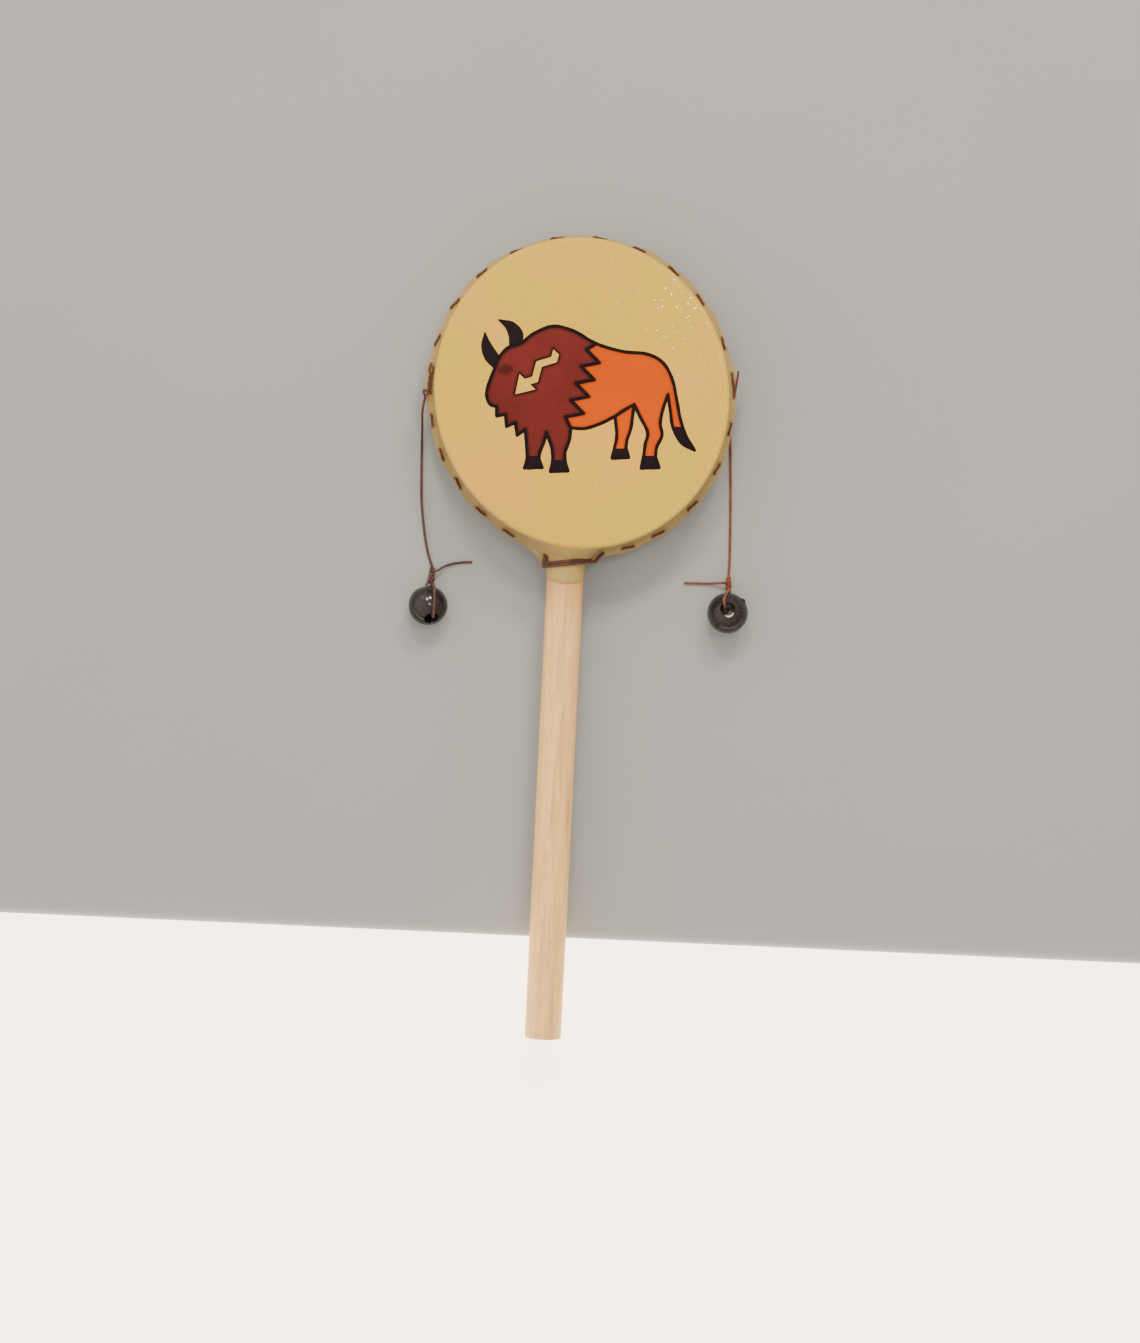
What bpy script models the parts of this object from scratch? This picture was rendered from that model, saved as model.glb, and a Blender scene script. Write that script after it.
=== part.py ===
"""Pellet drum: a small two-headed hand drum on a dowel handle, with two beads on cords.

The drum lies on its back head. The origin is the centre of that head, on the surface it
lies on. +Z comes out of the front head, the handle runs towards -Y, and +X is to the right.
"""

import math

import bmesh
import bpy
from mathutils import Matrix, Vector

MM = 0.001
GAP = 0.3 * MM

# The head: slightly oval, because the bent hoop isn't quite round.
FACE_HALF_WIDTH = 50.8 * MM
FACE_HALF_LENGTH = 53.6 * MM
OVAL_TURN = math.radians(16)
DRUM_DEPTH = 25.0 * MM
SEAM_Z = DRUM_DEPTH / 2
SKIN = 0.7 * MM
FACE_EDGE = 1.0 * MM
FLANGE = 3.2 * MM
WALL_RUN = 0.3 * MM
FLANGE_TOP = GAP / 2 + SKIN

# The hoop inside the skins.
HOOP_INSET = SKIN + 0.4 * MM
HOOP_WALL = 5.0 * MM
HOOP_CHAMFER = 0.8 * MM
HOOP_HALF_DEPTH = SEAM_Z - SKIN - 0.4 * MM
HOOP_STEPS = 48
HOOP_BORE_REACH = 12.0 * MM

# The handle: a half-inch dowel, a little to the left of the head's centre.
HANDLE_X = -2.4 * MM
HANDLE_RADIUS = 6.35 * MM
HANDLE_TOP_Y = -46.3 * MM
HANDLE_END_Y = -224.0 * MM
HANDLE_BEVEL = 0.5 * MM
HANDLE_SIDES = 22

# The neck, where the skins leave the head and cover the top of the handle.
NECK_TURN = math.radians(-1.4)
NECK_LEFT = math.radians(17)
NECK_RIGHT = math.radians(11.5)
COVER_RADIUS = HANDLE_RADIUS + GAP + SKIN + 0.15 * MM
FUNNEL_RUN = 10.2 * MM
LEFT_BULGE = 3.4 * MM
TONGUE_REACH = 65.0 * MM
TONGUE_NARROW = math.radians(4.5)
TONGUE_WIDE = math.radians(7)
BULGE_START = math.radians(15)
BULGE_FULL = math.radians(8)

# The skin's mesh: narrow columns at the neck, wide ones elsewhere, and its rows from the
# face's rim to the cut edge, each as a share of the reach, plain and at the neck.
NECK_COLUMN = math.radians(2.25)
NECK_COLUMNS = 16
WIDE_COLUMNS = 30
SKIN_ROWS = ((0.0, 0.0), (0.07, 0.14), (0.18, 0.34), (0.57, 0.6), (1.0, 1.0))

# Cords.
CORD_RADIUS = 0.5 * MM
LACE_RADIUS = 0.45 * MM
LACE_HOLE_HALF = 0.75 * MM
LACE_INSET = 1.7 * MM
BACK_INSET = 1.2 * MM
LACE_LIFT = FLANGE_TOP + GAP + LACE_RADIUS
DASH_HALF = 2.3
BACK_RUN_STEP = 14.0
# The middle of each front stitch, in degrees: they were sewn by eye, so their spacing varies.
DASHES = (-70, -58, -42, -25.5, -10, 23, 41.5, 56, 71, 86, 101.5, 117, 132, 147, 162, 192.5, 206,
          218.5, 232, 245)
NECK_HOLE = -79.0
POINT_SPACING = 2.9 * MM
PEG_LENGTH = 6.0 * MM

# The neck binding, two turns wound a little aslant.
BINDING_X = -1.55 * MM
BINDING_Y = -59.3 * MM
BINDING_HALF_WIDTH = 9.4 * MM
BINDING_HALF_HEIGHT = COVER_RADIUS + GAP + CORD_RADIUS + 0.6 * MM
BINDING_SLANT = 0.13
BINDING_PITCH = 1.25 * MM
BINDING_TURNS = 2
BINDING_STEPS = 14

# Beads.
LEFT_RADIUS = 6.9 * MM
RIGHT_RADIUS = 7.15 * MM
BORE_RADIUS = 2.4 * MM
LEFT_BEAD = Vector((-49.5, -75.5, 6.95)) * MM
RIGHT_BEAD = Vector((55.0, -73.1, 8.7)) * MM
# Each bore tilts towards the handle's end and leans to the right, both in degrees.
LEFT_BORE = (45, 13)
RIGHT_BORE = (-13, -5)
# The loop's front strand, all to the right: where its knot sits, how far it swings out on the way
# to the bore, and how far from the bore's middle it goes in.
LEFT_LOOP = (0.7 * MM, 0.6 * MM, 0.5 * MM)
RIGHT_LOOP = (0.2 * MM, 0.1 * MM, -0.8 * MM)
KNOT_ANGLE = math.radians(-27)
LOOP_SPREAD = 0.62 * MM
KNOT_SEAT = 0.4 * MM
KNOT_WRAPS = 3
KNOT_WAIST = 0.72
KNOT_SIDES = 9
BEAD_KNOT_RADIUS = 1.15 * MM
BEAD_SIDES = 16
BEAD_RINGS = 10
BORE_SIDES = 10
LOOP_ARC_STEPS = 6
LOOP_ARC_STEP = math.radians(18)
# The loop's way through the bore: off the bore's axis in mm, and along it in bead radii.
LOOP_THROUGH = ((1.6, 1.11), (0.5, 1.01), (0.0, 0.74), (0.0, 0.0), (0.0, -0.74), (0.5, -1.01),
                (1.6, -1.11))
LOOP_LEAVES = math.radians(26)

# Routes of the free cords, from the rim to the knot above the bead, chosen by eye in mm.
LEFT_ROUTE = (
    (-53.8, -3.4, 14.7), (-54.3, -5.8, 13.9), (-54.7, -8.8, 10.8), (-54.6, -11.8, 6.6),
    (-54.5, -15.0, 2.9), (-54.4, -18.8, 1.0), (-54.3, -23.0, 0.6), (-54.1, -28.3, 0.6),
    (-53.6, -38.8, 0.6), (-52.2, -49.2, 0.6), (-50.7, -56.2, 0.7), (-49.3, -60.4, 1.1),
    (-48.6, -62.3, 1.6),
)
RIGHT_ROUTE = (
    (53.15, 2.0, 14.0), (53.15, 2.0, 12.5), (53.15, 1.8, 10.5), (53.1, 0.6, 7.4),
    (53.1, -2.0, 4.0), (53.2, -5.4, 1.7), (53.4, -9.2, 0.7), (53.7, -13.4, 0.6),
    (54.1, -19.4, 0.6), (54.8, -33.4, 0.6), (55.3, -47.4, 0.6), (55.5, -55.0, 0.7),
    (55.4, -58.9, 1.2), (55.3, -60.6, 1.7),
)
LEFT_TAG = (
    (-46.6, -63.0, 2.4), (-44.6, -61.7, 1.5), (-41.9, -60.6, 0.8), (-38.4, -59.9, 0.6),
    (-34.9, -59.6, 0.6),
)
RIGHT_TAG = (
    (53.4, -62.6, 2.2), (50.6, -62.9, 1.2), (47.2, -63.1, 0.6), (43.4, -63.2, 0.6),
    (39.9, -63.3, 0.6),
)

# The ties at the rim, where each free cord is made fast to the seam, and the knots on them.
LEFT_TIE = (
    (-51.9, 7.4, 14.2), (-52.1, 3.4, 14.2), (-52.3, 1.3, 14.2), (-52.85, 0.6, 14.2),
    (-53.4, 1.3, 14.2), (-53.2, 3.6, 14.2), (-52.9, 7.6, 14.2),
)
RIGHT_TIE = (
    (51.5, 10.0, 14.3), (51.95, 7.0, 14.3), (52.5, 4.3, 14.3), (53.05, 3.45, 14.3),
    (53.55, 4.3, 14.3), (53.8, 7.2, 14.3), (54.1, 10.2, 14.3),
)
# Each small knot: its centre, its direction, its length and its radius, in mm.
SMALL_KNOTS = {
    "left_rim_knot": ((-53.6, -1.6, 15.0), (0.12, 1, 0.1), 2.8, 1.1),
    "neck_knot": ((-10.2, -56.7, 18.0), (0.1, 1, 0.2), 2.2, 1.1),
}
# The lacing's loose end, between the neck's right side and its first hole.
LACING_START = Vector((8.9, -56.0, 14.7)) * MM


def clear_scene():
    for thing in list(bpy.data.objects):
        bpy.data.objects.remove(thing, do_unlink=True)


def collection(name):
    made = bpy.data.collections.new(name)
    bpy.context.scene.collection.children.link(made)
    return made


def finish(name, colour, roughness):
    """A Principled material with the piece's colour."""
    made = bpy.data.materials.new(name)
    made.use_nodes = True
    shader = made.node_tree.nodes["Principled BSDF"]
    shader.inputs["Base Color"].default_value = (*colour, 1)
    shader.inputs["Roughness"].default_value = roughness
    shader.inputs["Metallic"].default_value = 0
    return made


def new_object(name, data, home, material=None):
    made = bpy.data.objects.new(name, data)
    home.objects.link(made)
    if material:
        data.materials.append(material)
    return made


def mesh_object(name, working, home, material=None):
    """An object made from a bmesh, which is freed."""
    data = bpy.data.meshes.new(name)
    working.to_mesh(data)
    working.free()
    data.shade_smooth()
    data.set_sharp_from_angle(angle=math.radians(35))
    return new_object(name, data, home, material)


def difference(target, cutter):
    cut = target.modifiers.new("cut " + cutter.name, "BOOLEAN")
    cut.operation = "DIFFERENCE"
    cut.solver = "EXACT"
    cut.object = cutter
    cutter.hide_render = True
    cutter.display_type = "WIRE"


def smooth_step(value, start, end):
    """0 at start, 1 at end, eased between them."""
    t = min(max((value - start) / (end - start), 0), 1)
    return t * t * (3 - 2 * t)


def face_radius(angle):
    """From the head's centre to the edge of its oval face."""
    along = math.cos(angle - OVAL_TURN) / FACE_HALF_WIDTH
    across = math.sin(angle - OVAL_TURN) / FACE_HALF_LENGTH
    return 1 / math.hypot(along, across)


def neck_offset(angle):
    """The signed angle from the middle of the neck: negative on the left."""
    turn = angle + math.pi / 2 - NECK_TURN
    return math.remainder(turn, 2 * math.pi)


def skin_reach(angle):
    """From the head's centre to the cut edge of the skin, flange or tongue."""
    off = neck_offset(angle)
    reach = face_radius(angle) + FLANGE
    if off < 0:
        reach += LEFT_BULGE * smooth_step(-off, BULGE_START, BULGE_FULL)
    tongue = smooth_step(abs(off), TONGUE_WIDE, TONGUE_NARROW)
    return reach + (TONGUE_REACH - reach) * tongue


def skin_height(angle, x, beyond):
    """Height of the skin's outer face over the seam, this far beyond the face's edge."""
    off = neck_offset(angle)
    limit = NECK_LEFT if off < 0 else NECK_RIGHT
    share = max(0, 1 - abs(off) / limit)
    run = WALL_RUN + FUNNEL_RUN * share
    fall = (SEAM_Z - FACE_EDGE) * (1 - beyond / run)
    cover = 0
    if share > 0:
        cover = math.sqrt(max(0, COVER_RADIUS**2 - (x - HANDLE_X) ** 2))
    return max(FLANGE_TOP, fall, cover)


def skin_angles():
    """Angles around the head, close together at the neck."""
    start = -math.pi / 2 + NECK_TURN
    half = NECK_COLUMN * NECK_COLUMNS / 2
    neck = [start - half + NECK_COLUMN * i for i in range(NECK_COLUMNS)]
    wide = (2 * math.pi - 2 * half) / WIDE_COLUMNS
    return neck + [start + half + wide * i for i in range(WIDE_COLUMNS)]


def skin_point(angle, row):
    plain, at_neck = row
    blend = smooth_step(abs(neck_offset(angle)), NECK_LEFT, math.radians(9))
    share = plain + (at_neck - plain) * blend
    edge = face_radius(angle)
    beyond = share * (skin_reach(angle) - edge)
    x = (edge + beyond) * math.cos(angle)
    y = (edge + beyond) * math.sin(angle)
    return x, y, skin_height(angle, x, beyond)


def face_point(angle):
    """A point on the rim of the flat face."""
    inner = face_radius(angle) - FACE_EDGE
    return inner * math.cos(angle), inner * math.sin(angle), SEAM_Z


def skin_ring(working, places, side):
    return [working.verts.new((x, y, SEAM_Z + side * height)) for x, y, height in places]


def skin(name, side, home, material):
    """One rawhide skin: side is 1 for the front head and -1 for the back."""
    working = bmesh.new()
    angles = skin_angles()
    centre = working.verts.new((0, 0, SEAM_Z + side * SEAM_Z))
    rings = [skin_ring(working, [face_point(angle) for angle in angles], side)]
    for row in SKIN_ROWS:
        rings.append(skin_ring(working, [skin_point(angle, row) for angle in angles], side))
    for i in range(len(angles)):
        after = (i + 1) % len(angles)
        working.faces.new((centre, rings[0][i], rings[0][after]))
        for inside, outside in zip(rings, rings[1:]):
            working.faces.new((inside[i], outside[i], outside[after], inside[after]))
    if side < 0:
        bmesh.ops.reverse_faces(working, faces=working.faces)
    made = mesh_object(name, working, home, material)
    wall = made.modifiers.new("thickness", "SOLIDIFY")
    wall.thickness = SKIN
    wall.offset = -1
    wall.use_even_offset = True
    return made


def rod(name, radius, start, end, sides, home, material=None):
    """A round bar between two points, from a cone primitive with equal ends."""
    working = bmesh.new()
    axis = Vector(end) - Vector(start)
    facing = axis.to_track_quat("Z", "Y").to_matrix().to_4x4()
    place = Matrix.Translation((Vector(start) + Vector(end)) / 2) @ facing
    bmesh.ops.create_cone(working, cap_ends=True, segments=sides, radius1=radius, radius2=radius,
                          depth=axis.length, matrix=place)
    return mesh_object(name, working, home, material)


def turned(name, profile, steps, home, material=None):
    """A shape turned about Z: the profile runs down its outer side."""
    working = bmesh.new()
    points = [working.verts.new((radius, 0, z)) for radius, z in profile]
    for upper, lower in zip(points, points[1:]):
        working.edges.new((upper, lower))
    made = mesh_object(name, working, home, material)
    lathe = made.modifiers.new("turn", "SCREW")
    lathe.steps = steps
    lathe.render_steps = steps
    lathe.use_merge_vertices = True
    lathe.merge_threshold = 0.00001
    return made


def smooth_route(points, spacing):
    """Evenly spaced points along a smooth curve through the given ones."""
    knots = [Vector(p) for p in points]
    ends = [2 * knots[0] - knots[1]] + knots + [2 * knots[-1] - knots[-2]]
    fine = []
    for before, a, b, after in zip(ends, ends[1:], ends[2:], ends[3:]):
        for step in range(12):
            t = step / 12
            fine.append(0.5 * (2 * a + (b - before) * t + (2 * before - 5 * a + 4 * b - after) * t**2
                               + (3 * a - before - 3 * b + after) * t**3))
    fine.append(knots[-1])
    lengths = [0]
    for a, b in zip(fine, fine[1:]):
        lengths.append(lengths[-1] + (b - a).length)
    count = max(2, round(lengths[-1] / spacing))
    placed = []
    segment = 0
    for i in range(count + 1):
        wanted = lengths[-1] * i / count
        while segment < len(fine) - 2 and lengths[segment + 1] < wanted:
            segment += 1
        share = (wanted - lengths[segment]) / (lengths[segment + 1] - lengths[segment])
        placed.append(fine[segment].lerp(fine[segment + 1], share))
    return placed


def tube(name, points, radius, home, material):
    """A cord that follows the points, with closed ends."""
    data = bpy.data.curves.new(name, "CURVE")
    data.dimensions = "3D"
    data.bevel_depth = radius
    data.bevel_resolution = 2
    data.use_fill_caps = True
    spline = data.splines.new("POLY")
    spline.points.add(len(points) - 1)
    for place, point in zip(spline.points, points):
        place.co = (*point, 1)
    return new_object(name, data, home, material)


def in_metres(points):
    return [Vector(p) * MM for p in points]


def hoop(home, cutters, material):
    """The bent wooden hoop, with the hole that takes the handle."""
    outer = FACE_HALF_WIDTH - HOOP_INSET
    inner = outer - HOOP_WALL
    top = HOOP_HALF_DEPTH
    section = ((outer, top - HOOP_CHAMFER), (outer, HOOP_CHAMFER - top), (outer - HOOP_CHAMFER, -top),
               (inner, -top), (inner, top), (outer - HOOP_CHAMFER, top), (outer, top - HOOP_CHAMFER))
    made = turned("hoop", section, HOOP_STEPS, home, material)
    made.scale.y = (FACE_HALF_LENGTH - HOOP_INSET) / outer
    made.rotation_euler.z = OVAL_TURN
    made.location.z = SEAM_Z
    start = (HANDLE_X, HANDLE_TOP_Y + HOOP_BORE_REACH, SEAM_Z)
    end = (HANDLE_X, HANDLE_TOP_Y - HOOP_BORE_REACH, SEAM_Z)
    difference(made, rod("handle_bore", HANDLE_RADIUS + GAP, start, end, HANDLE_SIDES, cutters))
    return made


def handle(home, material):
    start = (HANDLE_X, HANDLE_TOP_Y, SEAM_Z)
    end = (HANDLE_X, HANDLE_END_Y, SEAM_Z)
    made = rod("handle", HANDLE_RADIUS, start, end, HANDLE_SIDES, home, material)
    edge = made.modifiers.new("eased ends", "BEVEL")
    edge.width = HANDLE_BEVEL
    edge.segments = 1
    edge.limit_method = "ANGLE"
    edge.angle_limit = math.radians(60)
    return made


def seam_place(degrees, height, inset=LACE_INSET):
    """A point over the stitching line, this far over or under the seam."""
    angle = math.radians(degrees)
    radius = face_radius(angle) + inset
    return Vector((radius * math.cos(angle), radius * math.sin(angle), SEAM_Z + height))


def lace_holes():
    ends = [NECK_HOLE]
    for middle in DASHES:
        ends += [middle - DASH_HALF, middle + DASH_HALF]
    return ends


def lacing_points():
    """The running stitch: over the front between the holes of a dash, under the back to the next."""
    points = [LACING_START]
    holes = lace_holes()
    on_front = True
    for here, following in zip(holes, holes[1:] + [None]):
        top = seam_place(here, LACE_LIFT)
        bottom = seam_place(here, -LACE_LIFT)
        points += [top, bottom] if on_front else [bottom, top]
        on_front = not on_front
        if following is None or on_front:
            continue
        extra = int((following - here) // BACK_RUN_STEP)
        for i in range(extra):
            share = (i + 1) / (extra + 1)
            points.append(seam_place(here + (following - here) * share, -LACE_LIFT, BACK_INSET))
    return points


def square_pegs(name, places, half, home):
    """One cutter of upright square pegs, so that all the holes are one cut."""
    working = bmesh.new()
    for place in places:
        facing = Matrix.Rotation(math.atan2(place.y, place.x), 4, "Z")
        size = Matrix.Diagonal((2 * half, 2 * half, PEG_LENGTH, 1))
        bmesh.ops.create_cube(working, size=1, matrix=Matrix.Translation(place) @ facing @ size)
    return mesh_object(name, working, home)


def binding_points():
    """Two turns around the neck, wound aslant."""
    points = []
    for i in range(BINDING_TURNS * BINDING_STEPS + 1):
        turn = 2 * math.pi * i / BINDING_STEPS
        x = BINDING_X + BINDING_HALF_WIDTH * math.cos(turn)
        z = SEAM_Z + BINDING_HALF_HEIGHT * math.sin(turn)
        advance = BINDING_PITCH * (i / BINDING_STEPS - BINDING_TURNS / 2)
        y = BINDING_Y + BINDING_SLANT * (x - BINDING_X) + advance
        points.append(Vector((x, y, z)))
    return points


def wrapped_knot(name, centre, direction, length, radius, home, material):
    """A knot seen as three wraps of the cord, turned about its own axis."""
    wrap = length / KNOT_WRAPS
    waist = KNOT_WAIST * radius
    profile = [(0, length / 2)]
    for i in range(KNOT_WRAPS):
        upper = length / 2 - wrap * i
        profile += [(waist, upper - wrap / 10), (radius, upper - wrap / 2)]
    profile += [(waist, wrap / 10 - length / 2), (0, -length / 2)]
    made = turned(name, profile, KNOT_SIDES, home, material)
    made.rotation_mode = "QUATERNION"
    made.rotation_quaternion = Vector(direction).to_track_quat("Z", "Y")
    made.location = centre
    return made


def around_bead(centre, angle, radius, x=0.0):
    """A point round the bead: angle 0 is towards the drum's top, 90 degrees straight up."""
    reach = math.sqrt(radius**2 - x**2)
    return centre + Vector((x, reach * math.cos(angle), reach * math.sin(angle)))


def bore_direction(bore):
    """The direction from the bead's middle to the upper mouth of its bore."""
    mouth = math.pi / 2 + math.radians(bore[0])
    lean = math.radians(bore[1])
    return Vector((math.sin(lean), math.cos(lean) * math.cos(mouth), math.cos(lean) * math.sin(mouth)))


def bead(name, centre, radius, bore, home, cutters, material):
    """A round bead with its bore."""
    working = bmesh.new()
    bmesh.ops.create_uvsphere(working, u_segments=BEAD_SIDES, v_segments=BEAD_RINGS,
                              radius=radius, matrix=Matrix.Translation(centre))
    made = mesh_object(name, working, home, material)
    start = centre + 2 * radius * bore_direction(bore)
    end = centre - 2 * radius * bore_direction(bore)
    difference(made, rod(name + "_bore", BORE_RADIUS, start, end, BORE_SIDES, cutters))
    return made


def bead_loop_points(centre, radius, bore, loop):
    """From the knot over the bead's front, in at the mouth, out below and back to the knot."""
    clear = radius + GAP + CORD_RADIUS
    seat, swing, off_middle = loop
    mouth = math.pi / 2 + math.radians(bore[0])
    along = bore_direction(bore)
    back = Vector((0, math.sin(mouth), -math.cos(mouth)))
    sideways = clear * along.x
    points = []
    arrives = mouth - LOOP_LEAVES
    for i in range(LOOP_ARC_STEPS + 1):
        share = i / LOOP_ARC_STEPS
        angle = KNOT_ANGLE + (arrives - KNOT_ANGLE) * share
        x = (seat + LOOP_SPREAD) * (1 - share) + (sideways + off_middle) * share
        x += swing * math.sin(math.pi * share)
        points.append(around_bead(centre, angle, clear, x))
    for off, share in LOOP_THROUGH:
        across = Vector((max(0.0, share) * off_middle, 0, 0))
        points.append(centre + back * off * MM + along * share * radius + across)
    leaves = min(KNOT_ANGLE, mouth - math.pi + LOOP_LEAVES)
    steps = round((KNOT_ANGLE - leaves) / LOOP_ARC_STEP)
    for i in range(steps + 1):
        share = i / steps if steps else 1.0
        angle = leaves + (KNOT_ANGLE - leaves) * share
        x = -sideways * (1 - share) + (seat - LOOP_SPREAD) * share
        points.append(around_bead(centre, angle, clear, x))
    return points


def knot_direction(centre, radius, seat, route_end):
    """From the end of the free cord to the loop's ends beside the bead."""
    return around_bead(centre, KNOT_ANGLE, radius + GAP + CORD_RADIUS, seat) - route_end


def pellet(side, centre, radius, bore, loop, route, tag, home, cutters, cord_finish, bead_finish):
    """The free cord, the knot with its tag end, the loop through the bead, and the bead."""
    points = in_metres(route)
    tube(side + "_cord", smooth_route(points, POINT_SPACING), CORD_RADIUS, home, cord_finish)
    reach = knot_direction(centre, radius, loop[0], points[-1])
    length = reach.length - 2 * (GAP + KNOT_SEAT)
    middle = points[-1] + reach / 2
    wrapped_knot(side + "_bead_knot", middle, reach, length, BEAD_KNOT_RADIUS, home, cord_finish)
    over_and_through = bead_loop_points(centre, radius, bore, loop)
    tube(side + "_bead_loop", over_and_through, CORD_RADIUS, home, cord_finish)
    tube(side + "_tag", smooth_route(in_metres(tag), POINT_SPACING), CORD_RADIUS, home, cord_finish)
    bead(side + "_bead", centre, radius, bore, home, cutters, bead_finish)


def build():
    clear_scene()
    home = collection("pellet_drum")
    cutters = collection("cutters")
    rawhide = finish("rawhide", (0.67, 0.46, 0.20), 0.45)
    hoop_wood = finish("hoop_wood", (0.55, 0.38, 0.22), 0.6)
    dowel_wood = finish("dowel_wood", (0.70, 0.53, 0.37), 0.65)
    red_cord = finish("cord", (0.30, 0.11, 0.06), 0.7)
    black_bead = finish("black_bead", (0.03, 0.027, 0.025), 0.25)

    hoop(home, cutters, hoop_wood)
    handle(home, dowel_wood)
    places = [seam_place(degrees, 0) for degrees in lace_holes()]
    places.append(Vector(RIGHT_ROUTE[1]) * MM)
    pegs = square_pegs("lace_holes", places, LACE_HOLE_HALF, cutters)
    for name, side in (("front_skin", 1), ("back_skin", -1)):
        difference(skin(name, side, home, rawhide), pegs)

    tube("seam_lacing", lacing_points(), LACE_RADIUS, home, red_cord)
    tube("neck_binding", binding_points(), CORD_RADIUS, home, red_cord)
    tube("left_rim_tie", in_metres(LEFT_TIE), CORD_RADIUS, home, red_cord)
    tube("right_rim_tie", in_metres(RIGHT_TIE), CORD_RADIUS, home, red_cord)
    for name, (centre, direction, length, radius) in SMALL_KNOTS.items():
        wrapped_knot(name, Vector(centre) * MM, direction, length * MM, radius * MM, home, red_cord)
    for side, centre, radius, bore, loop, route, tag in (
        ("left", LEFT_BEAD, LEFT_RADIUS, LEFT_BORE, LEFT_LOOP, LEFT_ROUTE, LEFT_TAG),
        ("right", RIGHT_BEAD, RIGHT_RADIUS, RIGHT_BORE, RIGHT_LOOP, RIGHT_ROUTE, RIGHT_TAG),
    ):
        pellet(side, centre, radius, bore, loop, route, tag, home, cutters, red_cord, black_bead)


build()
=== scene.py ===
# %% [markdown]
# # A pellet drum
# A pellet drum is a small two-headed drum on a stick. Twirl the stick between the palms and two
# beads on cords swing round and strike the heads. This lesson dresses a measured frame of such a
# drum in rawhide, paint, waxed cord, turned beads and a bare dowel. Each step says what the real
# piece is and why it is made this way.

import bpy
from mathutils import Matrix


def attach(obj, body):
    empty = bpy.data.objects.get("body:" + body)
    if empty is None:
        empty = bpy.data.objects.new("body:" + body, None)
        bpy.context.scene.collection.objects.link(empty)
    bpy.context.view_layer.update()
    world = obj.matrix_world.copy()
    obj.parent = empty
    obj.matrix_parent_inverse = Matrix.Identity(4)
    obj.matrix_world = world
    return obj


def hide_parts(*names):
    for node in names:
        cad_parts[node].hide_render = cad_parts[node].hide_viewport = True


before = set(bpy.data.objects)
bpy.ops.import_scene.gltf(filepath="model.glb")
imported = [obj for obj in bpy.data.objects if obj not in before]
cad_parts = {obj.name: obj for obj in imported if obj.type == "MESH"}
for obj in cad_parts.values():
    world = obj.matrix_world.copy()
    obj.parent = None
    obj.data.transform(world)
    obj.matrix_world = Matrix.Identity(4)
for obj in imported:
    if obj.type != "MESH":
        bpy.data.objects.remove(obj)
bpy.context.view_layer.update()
print("nodes in the frame:", len(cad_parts))

# %% [markdown]
# Everything is in metres, but a small drum is easier to think about in millimetres, so one constant
# turns one into the other. The drum lies on its back head: +Z comes out of the painted head, the
# handle runs towards -Y, and +X is to the right. The sizes are the frame's own.

# %% The drum's sizes
import math

import bmesh
import bpy
from mathutils import Euler, Matrix, Vector, noise
from mathutils.geometry import delaunay_2d_cdt
from mathutils.kdtree import KDTree

MM = 0.001

FACE_HALF_WIDTH = 50.8 * MM
FACE_HALF_LENGTH = 53.6 * MM
OVAL_TURN = math.radians(16)
SEAM_Z = 12.5 * MM
FACE_EDGE = 1.0 * MM
SKIN = 0.6 * MM

HANDLE_X = -2.4 * MM
HANDLE_RADIUS = 6.35 * MM
HANDLE_TOP_Y = -46.3 * MM
HANDLE_END_Y = -224.0 * MM

CORD = 1.0 * MM


# %% [markdown]
# Some helpers keep the cells short. The first ones link an object, hang a finished piece on its body and
# hide the frame's nodes that it stands for, and lay quads between lines of points.

# %% Helpers for pieces
SHARP_WOOD = math.radians(50)


def new_object(name, data):
    made = bpy.data.objects.new(name, data)
    bpy.context.scene.collection.objects.link(made)
    return made


def declare(made, slot, *nodes):
    """Its material slot, which is not used, the body it rides on and the nodes of the frame that it stands
    for.
    """
    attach(made, "root")
    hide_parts(*nodes)
    return made


def lay_quads(working, lines, around):
    """Quads from each line of points to the next; around also joins the two ends of a line."""
    for here, after in zip(lines, lines[1:]):
        for i in range(len(here) if around else len(here) - 1):
            j = (i + 1) % len(here)
            working.faces.new((here[i], here[j], after[j], after[i]))


def turned_piece(name, working, material, slot, node):
    """A piece of turned wood from its faces."""
    bmesh.ops.recalc_face_normals(working, faces=working.faces)
    mesh = bpy.data.meshes.new(name)
    working.to_mesh(mesh)
    working.free()
    mesh.shade_smooth()
    mesh.set_sharp_from_angle(angle=SHARP_WOOD)
    mesh.materials.append(material)
    return declare(new_object(name, mesh), slot, node)


# %% [markdown]
# The next ones add nodes. A node's inputs are given by name, each as a socket to link or a plain
# value to set. A node group gets its named sockets in one go.

# %% Helpers for node trees
def feed(tree, value, socket):
    if isinstance(value, bpy.types.NodeSocket):
        tree.links.new(value, socket)
    else:
        socket.default_value = value


def add(tree, kind, inputs=None, **settings):
    made = tree.nodes.new(kind)
    for name, value in settings.items():
        setattr(made, name, value)
    for name, value in (inputs or {}).items():
        feed(tree, value, made.inputs[name])
    return made


def calculate(tree, operation, *values):
    made = add(tree, "ShaderNodeMath", operation=operation)
    for value, socket in zip(values, made.inputs):
        feed(tree, value, socket)
    return made.outputs[0]


def vector_math(tree, operation, *values, output=0):
    made = add(tree, "ShaderNodeVectorMath", operation=operation)
    for value, socket in zip(values, (s for s in made.inputs if s.enabled)):
        feed(tree, value, socket)
    return made.outputs[output]


def scaled(tree, vector, amount):
    inputs = {"Vector": vector, "Scale": amount}
    return add(tree, "ShaderNodeVectorMath", inputs, operation="SCALE").outputs["Vector"]


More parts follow.
